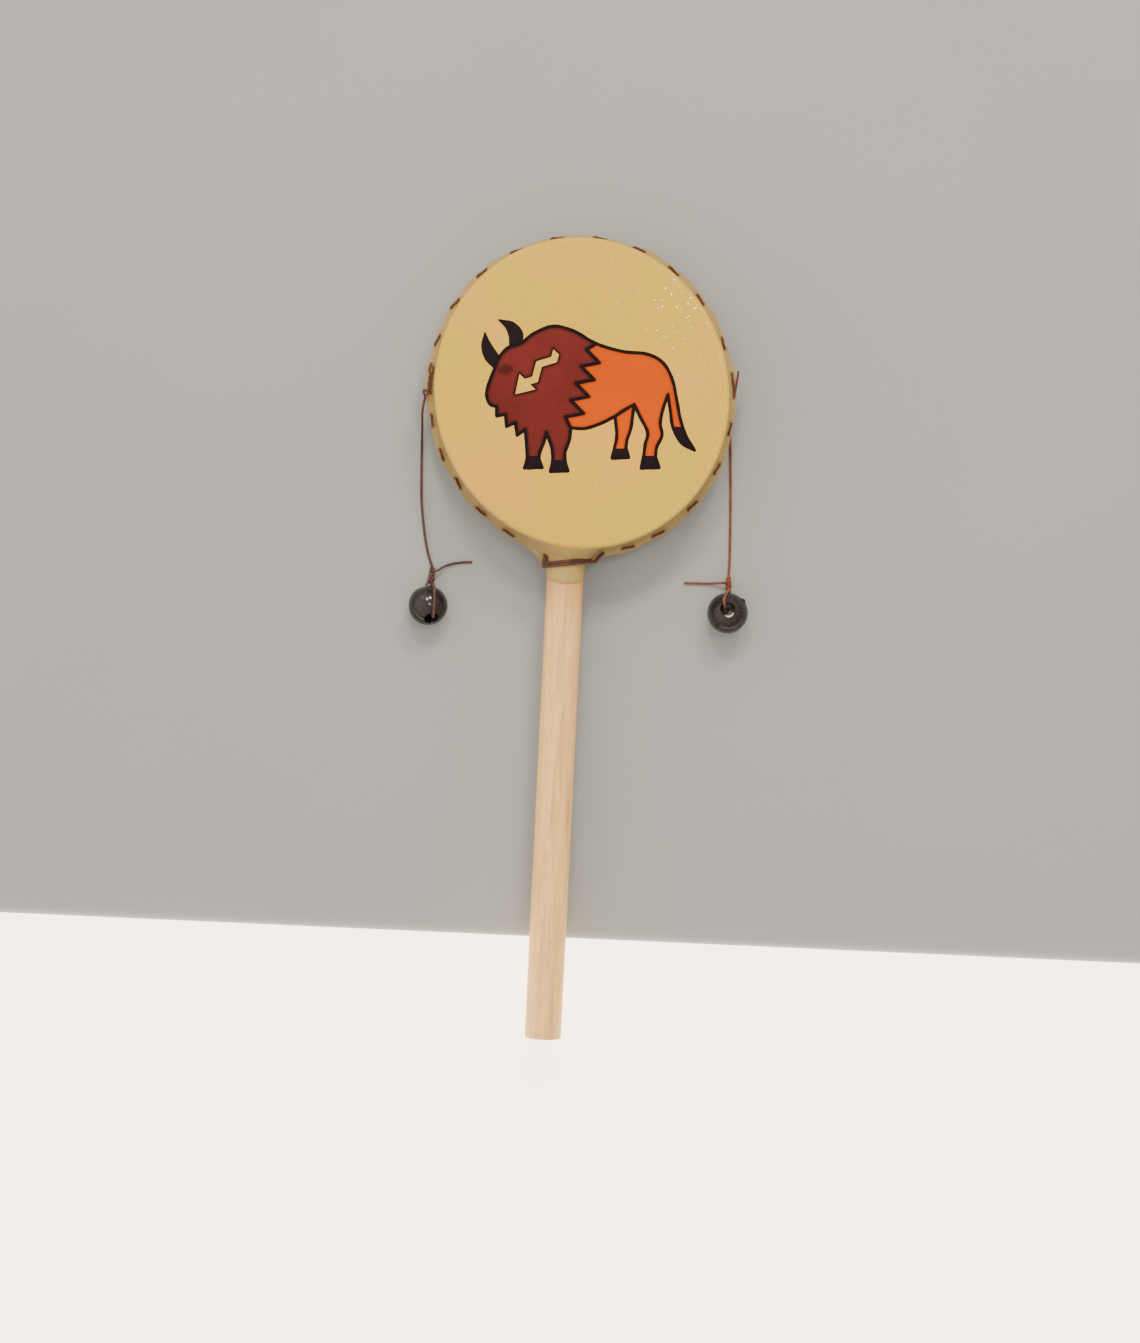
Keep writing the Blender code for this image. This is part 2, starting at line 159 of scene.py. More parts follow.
def group_tree(name, kind, inputs, outputs):
    """A node group with these sockets, its entry's sockets and its last node."""
    tree = bpy.data.node_groups.new(name, kind)
    for way, sockets in (("INPUT", inputs), ("OUTPUT", outputs)):
        for socket, sort in sockets.items():
            tree.interface.new_socket(socket, in_out=way, socket_type="NodeSocket" + sort)
    return tree, add(tree, "NodeGroupInput").outputs, add(tree, "NodeGroupOutput")


def give_out(tree, leave, results):
    for name, value in results.items():
        tree.links.new(value, leave.inputs[name])
    return tree


# %% [markdown]
# The last ones are for materials: colours, and the patterns that several finishes need.

# %% Helpers for materials
def principled(name):
    """A new material and its node tree."""
    made = bpy.data.materials.new(name)
    made.use_nodes = True
    return made, made.node_tree


def dress(tree, inputs):
    """Feed these inputs of the material's shader."""
    for name, value in inputs.items():
        feed(tree, value, tree.nodes["Principled BSDF"].inputs[name])


def srgb(red, green, blue):
    """A colour given in the 0 to 255 steps of a colour picker, as linear light."""
    shares = [step / 255 for step in (red, green, blue)]
    return *[s / 12.92 if s <= 0.04045 else ((s + 0.055) / 1.055) ** 2.4 for s in shares], 1.0


def object_place(tree):
    return add(tree, "ShaderNodeTexCoord").outputs["Object"]


def attribute(tree, name):
    return add(tree, "ShaderNodeAttribute", attribute_name=name).outputs["Fac"]


def noise_value(tree, place, scale, detail, offset=None):
    """Noise at a place; an offset picks another part of a noise with four dimensions."""
    size = "3D" if offset is None else "4D"
    inputs = {"Vector": place, "Scale": scale, "Detail": detail}
    made = add(tree, "ShaderNodeTexNoise", inputs, noise_dimensions=size)
    if offset is not None:
        made.inputs["W"].default_value = offset
    return made.outputs["Fac"]


def remap(tree, value, low, high, to_low=0.0, to_high=1.0):
    inputs = {"Value": value, "From Min": low, "From Max": high, "To Min": to_low, "To Max": to_high}
    return add(tree, "ShaderNodeMapRange", inputs, interpolation_type="SMOOTHSTEP").outputs["Result"]


def blend(tree, share, first, second, how="MIX"):
    inputs = {"Factor": share, "A": first, "B": second}
    return add(tree, "ShaderNodeMix", inputs, data_type="RGBA", blend_type=how).outputs["Result"]


def overlaid(tree, colour, *layers):
    """The colour with each (share, colour) laid over it in turn."""
    for share, over in layers:
        colour = blend(tree, share, colour, over)
    return colour


def ramp(tree, share, colours, places):
    """From one colour to the other as the share goes from place to place."""
    made = add(tree, "ShaderNodeValToRGB", {"Fac": share})
    for element, colour, place in zip(made.color_ramp.elements, colours, places):
        element.position = place
        element.color = colour
    return made.outputs["Color"]


def bumped(tree, height, strength, distance=0.05 * MM):
    inputs = {"Height": height, "Strength": strength, "Distance": distance}
    return add(tree, "ShaderNodeBump", inputs).outputs["Normal"]


print("a middle grey as linear light:", round(srgb(128, 128, 128)[0], 3))

# %% [markdown]
# ## Camera, floor and light
# The drum lies on a plain pale floor, with a trace of mottling so that it doesn't look like plastic. The
# camera looks almost straight down on it from a little over a metre, with a long lens, so the handle hardly
# tapers. A white board lies under the foot of the handle and glows by itself, painted light that makes it as
# bright as a table in strong light. Floor and board are the stage, not the drum.

# %% The camera, the floor and the board
SENSOR_MM = 36
LENS_MM = 85.778
FLOOR_HALF = 2.0
BOARD_TOP = -190 * MM
BOARD_THICK = 1.0 * MM
BOARD_GLOW = 4.2

camera_data = bpy.data.cameras.new("camera")
camera_data.sensor_width = SENSOR_MM
camera_data.lens = LENS_MM
camera_data.clip_end = 20
camera = new_object("camera", camera_data)
camera.location = Vector((-39.3, -68.8, 1123.9)) * MM
camera.rotation_euler = Euler([math.radians(a) for a in (-1.5, -2.0, 2.8)])
bpy.context.scene.camera = camera


def stage_sheet(name, low, high, height, dark, light, glow=0.0):
    """A flat sheet of the stage, between two colours in broad clouds, glowing by itself as painted light by
    the given glow.
    """
    paint, tree = principled(name)
    clouds = ramp(tree, noise_value(tree, object_place(tree), 9, 4), (dark, light), (0, 1))
    dress(tree, {"Roughness": 0.85, "Base Color": clouds, "Emission Color": light,
                 "Emission Strength": glow})
    mesh = bpy.data.meshes.new(name)
    corners = [(low, low), (-low, low), (-low, high), (low, high)]
    mesh.from_pydata([(x, y, height) for x, y in corners], [], [(0, 1, 2, 3)])
    mesh.materials.append(paint)
    new_object(name, mesh)


stage_sheet("floor", -FLOOR_HALF, FLOOR_HALF, 0, srgb(148, 152, 154), srgb(154, 158, 160))
# The board glows by itself: painted light.
stage_sheet("board", -FLOOR_HALF / 2, BOARD_TOP, BOARD_THICK, srgb(246, 232, 216), srgb(255, 240, 222),
            BOARD_GLOW)
print("lens in mm:", round(camera_data.lens, 2))

# %% [markdown]
# Most of the light is the soft light of a room that is brighter to the left and the top, and
# fades towards the horizon: its strength changes with the direction of a ray. Two keys beyond
# the top of the drum leave the funnel at the neck in shade, because it slopes away from them,
# and they show on the beads as two bright points side by side. A small overhead lamp and a side
# lamp add two more points, and a lamp near the camera brings out the varnish's sparkle.

# %% The lights
WARM = (1.0, 0.87, 0.69)
MILD = (1.0, 0.96, 0.91)
LIGHTS = (
    # name, place, width, watts, colour
    ("overhead", (0.28, 0.26, 1.49), 0.2, 3.0, WARM),
    ("left key", (-0.14, 0.84, 1.12), 0.24, 8.0, WARM),
    ("right key", (0.27, 0.97, 0.95), 0.24, 8.0, WARM),
    ("side lamp", (-0.75, 0.84, 0.80), 0.12, 0.8, MILD),
    ("glint", (0.100, 0.130, 1.124), 0.04, 0.4, MILD),
)
ROOM_COLOUR = (1.0, 0.905, 0.79, 1)
ROOM_STRENGTH = 1.43
# How much stronger the room's light is in each direction: less to the right, more to the top.
ROOM_LEAN = (-0.75, 0.25, 0.0)
# The share of it that is left at the horizon.
ROOM_HORIZON = 0.45

for name, place, width, watts, colour in LIGHTS:
    data = bpy.data.lights.new(name, "AREA")
    data.shape = "DISK"
    data.size = width
    data.energy = watts
    data.color = colour
    lamp = new_object(name, data)
    lamp.location = place
    lamp.rotation_euler = (-Vector(place)).to_track_quat("-Z", "Y").to_euler()

room = bpy.data.worlds.new("room")
room.use_nodes = True
air = room.node_tree
direction = add(air, "ShaderNodeTexCoord").outputs["Generated"]
lean = vector_math(air, "DOT_PRODUCT", direction, ROOM_LEAN, output="Value")
above = vector_math(air, "DOT_PRODUCT", direction, (0, 0, 1), output="Value")
fade = calculate(air, "MINIMUM", calculate(air, "ADD", above, ROOM_HORIZON), 1.0)
strength = calculate(air, "MULTIPLY", calculate(air, "ADD", lean, ROOM_STRENGTH), fade)
feed(air, ROOM_COLOUR, air.nodes["Background"].inputs["Color"])
feed(air, strength, air.nodes["Background"].inputs["Strength"])
bpy.context.scene.world = room
print("lights:", len(LIGHTS))

# %% [markdown]
# ## Smooth routes
# A cord is easy to plan as a dozen given points, and a Catmull-Rom curve then runs smoothly through all of
# them. The helpers read evenly spaced points off that curve, here for the cords and later for the outline of
# the painted bison.

# %% A smooth route through chosen points
SUBDIVISIONS = 12


def catmull_rom(knots):
    """Many points on the smooth curve through the knots."""
    ends = [2 * knots[0] - knots[1]] + knots + [2 * knots[-1] - knots[-2]]
    fine = []
    for before, a, b, after in zip(ends, ends[1:], ends[2:], ends[3:]):
        for step in range(SUBDIVISIONS):
            t = step / SUBDIVISIONS
            fine.append(0.5 * (2 * a + (b - before) * t + (2 * before - 5 * a + 4 * b - after) * t**2
                               + (3 * a - before - 3 * b + after) * t**3))
    return fine + [knots[-1]]


def evenly(fine, spacing):
    """The same line, with its points this far apart."""
    lengths = [0.0]
    for a, b in zip(fine, fine[1:]):
        lengths.append(lengths[-1] + (b - a).length)
    count = max(2, round(lengths[-1] / spacing))
    placed = []
    segment = 0
    for i in range(count + 1):
        wanted = lengths[-1] * i / count
        while segment < len(fine) - 2 and lengths[segment + 1] < wanted:
            segment += 1
        share = (wanted - lengths[segment]) / (lengths[segment + 1] - lengths[segment])
        placed.append(fine[segment].lerp(fine[segment + 1], share))
    return placed


def smooth_line(knots, spacing=0.5 * MM):
    return evenly(catmull_rom(knots), spacing)


def in_mm(points):
    """Points given in millimetres, as points in metres."""
    return [Vector(p) * MM for p in points]


def length_of(points):
    return sum((b - a).length for a, b in zip(points, points[1:]))


bend = smooth_line(in_mm(((0, 0), (20, 0), (20, 20))))
print("a bend past three points 20 mm apart is", round(length_of(bend) / MM, 1), "mm long")

# %% [markdown]
# ## The cord's finish
# The drum is laced with a thin waxed cord, red-brown and a little uneven. Its colour is darkened towards the
# grooves between the strands as painted shade: the mesh says how far out each point lies, as "outer". The
# two free cords aren't quite alike, the right one being more orange, so the finish is a function with the
# colours as its inputs.

# %% Material: waxed cord
def cord_finish(name, dark, light):
    made, tree = principled(name)
    place = object_place(tree)
    fibre = noise_value(tree, place, 3800, 2)
    ruffled = calculate(tree, "MULTIPLY_ADD", fibre, 0.5, -0.25)
    mixed = calculate(tree, "ADD", noise_value(tree, place, 420, 3), ruffled)
    wax = ramp(tree, mixed, (dark, light), (0.3, 0.72))
    # Painted shade: darker towards the grooves between the strands.
    groove = remap(tree, attribute(tree, "outer"), 0.45, 0.92, 0.25, 1.0)
    dress(tree, {"Base Color": scaled(tree, wax, groove), "Roughness": 0.62, "Sheen Weight": 0.15,
                 "Normal": bumped(tree, fibre, 0.6, 0.06 * MM)})
    return made


lacing_cord = cord_finish("lacing cord", srgb(66, 29, 17), srgb(114, 58, 36))
binding_cord = cord_finish("binding cord", srgb(54, 24, 12), srgb(104, 54, 28))
left_waxed = cord_finish("left waxed cord", srgb(54, 25, 21), srgb(102, 58, 48))
right_waxed = cord_finish("right waxed cord", srgb(94, 38, 18), srgb(152, 78, 46))
print("cord finishes made")

# %% [markdown]
# ## Twisted strands with Geometry Nodes
# A cord is three strands laid round each other. The twist follows a simple rule, which Geometry
# Nodes can apply to any route: at each point, step sideways by a fixed amount in a direction that
# turns as the route goes on. The route's own place is stored before the step sideways, so that
# afterwards the tree can measure how far out each point of a strand lies.

# %% The twisted cord tree
STRANDS = 3
# Strands that touch each other: their radius and their distance from the middle of the cord.
STRAND_RADIUS = 0.232
STRAND_OFFSET = 0.268
STRAND_SIDES = 7


def twisted_cord_tree():
    tree, entry, leave = group_tree(
        "twisted cord", "GeometryNodeTree",
        {"Route": "Geometry", "Diameter": "Float", "Turn": "Float", "Step": "Float", "Material": "Material"},
        {"Cord": "Geometry"})
    inputs = {"Curve": entry["Route"], "Length": entry["Step"]}
    spaced = add(tree, "GeometryNodeResampleCurve", inputs, mode="LENGTH").outputs["Curve"]
    along = add(tree, "GeometryNodeSplineParameter").outputs["Length"]
    normal = add(tree, "GeometryNodeInputNormal").outputs["Normal"]
    tangent = add(tree, "GeometryNodeInputTangent").outputs["Tangent"]
    place = add(tree, "GeometryNodeInputPosition").outputs["Position"]
    across = vector_math(tree, "CROSS_PRODUCT", tangent, normal)
    turns = calculate(tree, "DIVIDE", along, entry["Turn"])
    away = calculate(tree, "MULTIPLY", entry["Diameter"], STRAND_OFFSET)
    thick = calculate(tree, "MULTIPLY", entry["Diameter"], STRAND_RADIUS)

    def stored(geometry, name, value, kind):
        inputs = {"Geometry": geometry, "Name": name, "Value": value}
        return add(tree, "GeometryNodeStoreNamedAttribute", inputs, data_type=kind).outputs["Geometry"]

    middle = stored(spaced, "middle", place, "FLOAT_VECTOR")
    inputs = {"Resolution": STRAND_SIDES, "Radius": thick}
    circle = add(tree, "GeometryNodeCurvePrimitiveCircle", inputs, mode="RADIUS").outputs["Curve"]
    join = add(tree, "GeometryNodeJoinGeometry")
    for i in range(STRANDS):
        angle = calculate(tree, "MULTIPLY_ADD", turns, 2 * math.pi, 2 * math.pi * i / STRANDS)
        cosine = scaled(tree, normal, calculate(tree, "COSINE", angle))
        sine = scaled(tree, across, calculate(tree, "SINE", angle))
        side = scaled(tree, vector_math(tree, "ADD", cosine, sine), away)
        moved = add(tree, "GeometryNodeSetPosition", {"Geometry": middle, "Offset": side})
        inputs = {"Curve": moved.outputs["Geometry"], "Profile Curve": circle, "Fill Caps": True}
        strand = add(tree, "GeometryNodeCurveToMesh", inputs)
        tree.links.new(strand.outputs["Mesh"], join.inputs["Geometry"])
    real = add(tree, "GeometryNodeRealizeInstances", {"Geometry": join.outputs["Geometry"]})
    kept = add(tree, "GeometryNodeInputNamedAttribute", {"Name": "middle"}, data_type="FLOAT_VECTOR")
    distance = vector_math(tree, "DISTANCE", place, kept.outputs["Attribute"], output="Value")
    outer = calculate(tree, "DIVIDE", distance, calculate(tree, "MULTIPLY", entry["Diameter"], 0.5))
    marked = stored(real.outputs["Geometry"], "outer", outer, "FLOAT")
    forget = add(tree, "GeometryNodeRemoveAttribute", {"Geometry": marked, "Name": "middle"})
    inputs = {"Geometry": forget.outputs["Geometry"], "Material": entry["Material"]}
    finish = add(tree, "GeometryNodeSetMaterial", inputs)
    return give_out(tree, leave, {"Cord": finish.outputs["Geometry"]})


twisted_cord = twisted_cord_tree()
print("nodes in the twisted cord tree:", len(twisted_cord.nodes))

# %% [markdown]
# A modifier's inputs are set by their identifiers, before the object is first evaluated. The
# result is then copied into a plain mesh, and the modifier and its route curve are thrown away,
# so that the finished piece is nothing but faces.

# %% From a route to a cord
CORD_STEP = 0.3 * MM


def route_curve(name, runs):
    """A curve object with one open spline for each run of points."""
    data = bpy.data.curves.new(name, "CURVE")
    data.dimensions = "3D"
    for points in runs:
        spline = data.splines.new("POLY")
        spline.points.add(len(points) - 1)
        for place, point in zip(spline.points, points):
            place.co = (*point, 1)
    return new_object(name, data)


def settle(name, source):
    """The evaluated shape of an object with modifiers, as a plain piece of that name."""
    graph = bpy.context.evaluated_depsgraph_get()
    mesh = bpy.data.meshes.new_from_object(source.evaluated_get(graph), depsgraph=graph)
    bpy.data.objects.remove(source, do_unlink=True)
    mesh.name = name
    mesh.shade_smooth()
    return new_object(name, mesh)


def cord_piece(name, runs, material, nodes, diameter=CORD, turn=3 * MM):
    """A twisted cord along the runs, which stands for these nodes of the frame."""
    inputs = {"Diameter": diameter, "Turn": turn, "Step": CORD_STEP, "Material": material}
    source = route_curve(name + " route", runs)
    modifier = source.modifiers.new("twist", "NODES")
    modifier.node_group = twisted_cord
    for item in twisted_cord.interface.items_tree:
        if item.name in inputs:
            modifier[item.identifier] = inputs[item.name]
    made = declare(settle(name, source), "cord", *nodes)
    print(name, "faces:", len(made.data.polygons))
    return made


# %% [markdown]
# ## The free cords
# Each cord hangs from a tie at the rim and ends in a knot above its bead. With the drum lying
# down, the cord drops over the side, bends on to the surface and runs along it. It is limp, so
# it has no stiff bends. The routes repeat the frame's, in millimetres.

# %% Routes of the free cords
LEFT_ROUTE = (
    (-53.8, -3.4, 14.7), (-54.3, -5.8, 13.9), (-54.7, -8.8, 10.8), (-54.6, -11.8, 6.6),
    (-54.5, -15.0, 2.9), (-54.4, -18.8, 1.0), (-54.3, -23.0, 0.6), (-54.1, -28.3, 0.6),
    (-53.6, -38.8, 0.6), (-52.2, -49.2, 0.6), (-50.7, -56.2, 0.7), (-49.3, -60.4, 1.1),
    (-48.6, -62.3, 1.6),
)
RIGHT_ROUTE = (
    (53.15, 2.0, 14.0), (53.15, 2.0, 12.5), (53.15, 1.8, 10.5), (53.1, 0.6, 7.4),
    (53.1, -2.0, 4.0), (53.2, -5.4, 1.7), (53.4, -9.2, 0.7), (53.7, -13.4, 0.6),
    (54.1, -19.4, 0.6), (54.8, -33.4, 0.6), (55.3, -47.4, 0.6), (55.5, -55.0, 0.7),
    (55.4, -58.9, 1.2), (55.3, -60.6, 1.7),
)
free_routes = {"left": smooth_line(in_mm(LEFT_ROUTE)), "right": smooth_line(in_mm(RIGHT_ROUTE))}
finishes = {"left": left_waxed, "right": right_waxed}
for side, route in free_routes.items():
    cord_piece(side + "_free_cord", [route], finishes[side], [side + "_cord"])
    print(side, "cord length in mm:", round(length_of(route) / MM, 1))

# %% [markdown]
# ## Where the bead hangs
# The cord makes a loop: from the knot it runs over the bead, in at the mouth of its bore, out at
# the other end and back to the knot. A point beside the round bead is named by an angle: 0 is
# towards the top of the drum, 90 degrees is straight up from the floor. A bore tilts towards the
# handle's end and leans to the right, both in degrees. The loop's seat beside the bead, the swing
# of its front strand, how far off the bore's middle it goes in and where it comes up behind the
# bead are distances to the right. The loop starts inside the knot, so that no cut end shows.

# %% The beads' places and the loops through them
KNOT_ANGLE = math.radians(-27)
BEADS = {
    "left": {"centre": Vector((-49.5, -75.5, 6.95)) * MM, "radius": 6.9 * MM, "tilt": 45, "lean": 13,
             "seat": 0.7 * MM, "swing": 0.4 * MM, "off": 0.4 * MM, "back": -1.2 * MM},
    "right": {"centre": Vector((55.0, -73.1, 8.7)) * MM, "radius": 7.15 * MM, "tilt": -13, "lean": -5,
              "seat": 0.3 * MM, "swing": 0.2 * MM, "off": -1.2 * MM, "back": 0.9 * MM},
}
LOOP_SPREAD = 0.55 * MM
LOOP_LEAVES = math.radians(26)
OVER_STEPS = 7
UNDER_STEP = math.radians(18)
# Through the bore: off its middle in mm, and along it in bead radii.
LOOP_THROUGH = ((1.9, 1.07), (1.5, 0.95), (1.25, 0.68), (1.2, 0.0), (1.2, -0.68), (1.4, -0.95), (1.9, -1.07))


def around_bead(centre, angle, radius, x=0.0):
    reach = math.sqrt(radius**2 - x**2)
    return centre + Vector((x, reach * math.cos(angle), reach * math.sin(angle)))


def bore_direction(side):
    """From the bead's middle to the upper mouth of its bore."""
    mouth = math.radians(90 + BEADS[side]["tilt"])
    lean = math.radians(BEADS[side]["lean"])
    return Vector((math.sin(lean), math.cos(lean) * math.cos(mouth), math.cos(lean) * math.sin(mouth)))


def loop_route(side):
    bead = BEADS[side]
    centre = bead["centre"]
    mouth = math.radians(90 + bead["tilt"])
    along = bore_direction(side)
    back = Vector((0, math.sin(mouth), -math.cos(mouth)))
    clear = bead["radius"] + 0.52 * CORD
    sideways = clear * along.x
    inside = free_routes[side][-1]
    points = [inside + Vector((LOOP_SPREAD, 0, 0.2 * MM))]
    for i in range(OVER_STEPS + 1):
        share = i / OVER_STEPS
        angle = KNOT_ANGLE + (mouth - LOOP_LEAVES - KNOT_ANGLE) * share
        x = (bead["seat"] + LOOP_SPREAD) * (1 - share) + (sideways + bead["off"]) * share
        points.append(around_bead(centre, angle, clear, x + bead["swing"] * math.sin(math.pi * share)))
    for off, share in LOOP_THROUGH:
        across = Vector((bead["off"] * (share > -1), 0, 0))
        points.append(centre + back * off * MM + along * share * bead["radius"] + across)
    under = min(KNOT_ANGLE, mouth - math.pi + LOOP_LEAVES)
    steps = round((KNOT_ANGLE - under) / UNDER_STEP)
    for i in range(steps + 1):
        share = i / steps if steps else 1.0
        angle = under + (KNOT_ANGLE - under) * share
        x = -sideways * (1 - share) + bead["back"] * share
        points.append(around_bead(centre, angle, clear, x))
    points.append(points[-1].lerp(inside, 0.55) + Vector((bead["back"] * -0.15, 0, 0.3 * MM)))
    points.append(inside + Vector((math.copysign(LOOP_SPREAD, bead["back"]), 0, -0.1 * MM)))
    return smooth_line(points, 0.4 * MM)


print("cord in the loops in mm:", [round(length_of(loop_route(side)) / MM) for side in BEADS])

# %% [markdown]
# ## Knots
# From a little way off, each knot is a cord wound a few turns round what it holds. A helix gives
# that, and the loose end that leaves the knot is the same cord running on, so the two are one
# route: the loose end first, then the turns.

# %% A wound knot
TURN_STEPS = 14
KNOT_TURNS = 3.5
# The first angle of the turns, the knot's belly in mm, and the loose end from the knot outwards.
KNOTS = {
    "left": (1.2, 0.42, ((-48.1, -63.6, 3.0), (-46.6, -63.0, 2.4), (-44.6, -61.7, 1.5),
                         (-41.9, -60.6, 0.8), (-38.4, -59.9, 0.6), (-34.9, -59.6, 0.6))),
    "right": (2.4, 0.25, ((54.6, -62.4, 2.8), (53.4, -62.6, 2.2), (50.6, -62.9, 1.2),
                          (47.2, -63.1, 0.6), (43.4, -63.2, 0.6), (39.9, -63.3, 0.6))),
}


def winding(start, end, radius, turns, first_angle=0.0, belly=0.0):
    """A helix from start to end, a little wider in the middle by belly."""
    axis = (end - start).normalized()
    side = axis.orthogonal().normalized()
    across = axis.cross(side)
    points = []
    steps = round(turns * TURN_STEPS)
    for i in range(steps + 1):
        share = i / steps
        angle = first_angle + 2 * math.pi * turns * share
        reach = radius + belly * math.sin(math.pi * share)
        points.append(start.lerp(end, share) + reach * (side * math.cos(angle) + across * math.sin(angle)))
    return points


knot_parts = {}
for side, (first_angle, belly, loose) in KNOTS.items():
    top = free_routes[side][-1]
    bead = BEADS[side]
    seat = around_bead(bead["centre"], KNOT_ANGLE, bead["radius"] + 0.5 * CORD, bead["seat"])
    down = (seat - top).normalized()
    turns = winding(top + down * 0.1 * MM, seat - down * 0.5 * MM, 0.52 * CORD, KNOT_TURNS,
                    first_angle, belly * MM)
    knot = smooth_line(in_mm(loose[::-1])) + smooth_line(turns, 0.25 * MM)
    knot_parts[side] = [
        cord_piece(side + "_knot_and_end", [knot], finishes[side], [side + "_bead_knot", side + "_tag"],
                   diameter=0.92 * CORD),
        cord_piece(side + "_loop", [loop_route(side)], finishes[side], [side + "_bead_loop"],
                   diameter=0.95 * CORD),
    ]

# %% [markdown]
# ## The beads
# The beads are turned from wood and stained black. The left one is polished and shows the lamps as small
# bright points. The right one is a little bigger and duller, with fine streaks, and a small nub stands out
# at its upper right, and a pale crescent is painted below its mouth.

# %% Material: black stained wood
# The pale crescent painted below the right bead's mouth: its colour and its radius.
PALE_LIP_COLOUR = srgb(226, 214, 190)
PALE_LIP_RADIUS = 1.75 * MM


def bore_turn(side):
    """The rotation that takes +Z to the mouth of the bore."""
    return bore_direction(side).to_track_quat("Z", "Y")


def turned_black(name, side, gloss, shine, relief, stain, streak, pale_lip=0.0):
    """Black stain on wood whose grain runs along the bore, with a pale crescent painted below the mouth."""
    made, tree = principled(name)
    inputs = {"Vector": object_place(tree), "Location": BEADS[side]["centre"],
              "Rotation": bore_turn(side).to_euler(), "Scale": (1, 1, 9)}
    place = add(tree, "ShaderNodeMapping", inputs, vector_type="TEXTURE").outputs["Vector"]
    grain = noise_value(tree, place, 1500, 4)
    # A pale crescent painted below the mouth, round a point shifted by the given amount.
    flat = vector_math(tree, "MULTIPLY", place, (1, 1, 0))
    aside = vector_math(tree, "DISTANCE", flat, (0, pale_lip, 0), output="Value")
    crescent = calculate(tree, "LESS_THAN", aside, PALE_LIP_RADIUS if pale_lip else 0)
    black = ramp(tree, grain, (stain, streak), (0.35, 0.75))
    dress(tree, {"Base Color": blend(tree, crescent, black, PALE_LIP_COLOUR), "Specular IOR Level": shine,
                 "Roughness": calculate(tree, "MULTIPLY_ADD", grain, 0.3, gloss - 0.15),
                 "Normal": bumped(tree, grain, relief)})
    return made


polished_black = turned_black("polished black", "left", 0.13, 0.4, 0.2, srgb(20, 17, 18), srgb(46, 41, 43))
dull_black = turned_black("dull black", "right", 0.19, 0.35, 0.12, srgb(16, 14, 14), srgb(56, 51, 50),
                          pale_lip=1.2 * MM)
print("bead finishes made")

# %% [markdown]
# A bead is a half circle with the bore cut off it, spun round the bore's axis. Its mesh is turned and put in
# place, so that the object itself stays unturned at the origin.

# %% Turn the beads on the lathe
BORE_RADIUS = 2.4 * MM
BEAD_SIDES = 72
ARC_STEPS = 30
MOUTH_EASE = 0.2 * MM
BEAD_LUMPS = 0.09 * MM
LUMPS_PER_RADIUS = 2.2
# Only the outside of the bead is lumpy: beyond this share of its radius.
OUTSIDE = 0.9
# The nub: its direction from the bead's middle, its height and its width in bead radii.
NUB = (Vector((0.72, 0.64, 0.28)).normalized(), 0.9 * MM, 0.13)


def bead_profile(radius):
    """From the top mouth round the outside to the lower mouth, and back up the bore."""
    start = math.asin((BORE_RADIUS + MOUTH_EASE) / radius)
    arc = [start + (math.pi - 2 * start) * i / ARC_STEPS for i in range(ARC_STEPS + 1)]
    lip = radius * math.cos(start) - MOUTH_EASE
    bore = [(BORE_RADIUS, lip * share) for share in (-1, -0.5, 0.5, 1)]
    return [(radius * math.sin(a), radius * math.cos(a)) for a in arc] + bore


def bead_piece(side, material, nub=None):
    working = bmesh.new()
    centre, radius = BEADS[side]["centre"], BEADS[side]["radius"]
    place = Matrix.Translation(centre) @ bore_turn(side).to_matrix().to_4x4()
    rings = []
    for i in range(BEAD_SIDES):
        angle = 2 * math.pi * i / BEAD_SIDES
        ring = [Vector((r * math.cos(angle), r * math.sin(angle), z)) for r, z in bead_profile(radius)]
        rings.append([working.verts.new(place @ p) for p in ring])
    lay_quads(working, rings + rings[:1], True)
    for vert in working.verts:
        out = vert.co - centre
        if out.length > OUTSIDE * radius:
            lump = noise.noise(out.normalized() * LUMPS_PER_RADIUS + centre * 100) * BEAD_LUMPS
            if nub:
                lump += nub[1] * math.exp(-(((out.normalized() - nub[0]).length / nub[2]) ** 2))
            vert.co += out.normalized() * lump
    return turned_piece(side + "_turned_bead", working, material, "bead", side + "_bead")


knot_parts["left"].append(bead_piece("left", polished_black))
knot_parts["right"].append(bead_piece("right", dull_black, NUB))
for side, route in free_routes.items():
    print(side, "cord carries", len(knot_parts[side]), "pieces")

# %% [markdown]
# ## The hide's finish
# Rawhide is skin dried hard on the drum. It isn't one colour: broad patches run from yellowish to
# pinkish, a fine grain covers everything, and the thin varnish stands in tiny blisters. Each
# blister faces its own way by a degree or two, so a lamp lights up a few of them, here and there.
# The bare hide and all three paints share that surface, so it is one shader node group. The group
# gives out masks and normals, and each material decides what to do with them.

# %% Shader group: hide grain
def hide_grain_group():
    tree, entry, leave = group_tree(
        "hide grain", "ShaderNodeTree", {"Place": "Vector", "Depth": "Float"},
        {"Patches": "Float", "Blush": "Float", "Grain": "Float", "Blisters": "Float", "Normal": "Vector",
         "Facets": "Vector"})
    place = entry["Place"]
    grain = noise_value(tree, place, 1400, 4, 0.0)
    cells = add(tree, "ShaderNodeTexVoronoi", {"Vector": place, "Scale": 1400}).outputs
    chance = add(tree, "ShaderNodeSeparateXYZ", {"Vector": cells["Color"]}).outputs["Z"]
    spots = remap(tree, cells["Distance"], 0.4, 0.18)
    blisters = calculate(tree, "MULTIPLY", spots, remap(tree, chance, 0.64, 0.68))
    height = calculate(tree, "MULTIPLY_ADD", blisters, 1.4, grain)
    upright = add(tree, "ShaderNodeNewGeometry").outputs["Normal"]
    any_way = vector_math(tree, "SUBTRACT", cells["Color"], (0.5, 0.5, 0.5))
    tilted = vector_math(tree, "ADD", upright, scaled(tree, any_way, 0.06))
    return give_out(tree, leave, {
        "Patches": noise_value(tree, place, 42, 3, 0.0), "Blush": noise_value(tree, place, 26, 2, 3.0),
        "Grain": grain, "Blisters": blisters, "Facets": vector_math(tree, "NORMALIZE", tilted),
        "Normal": bumped(tree, height, calculate(tree, "MULTIPLY", entry["Depth"], 0.5))})


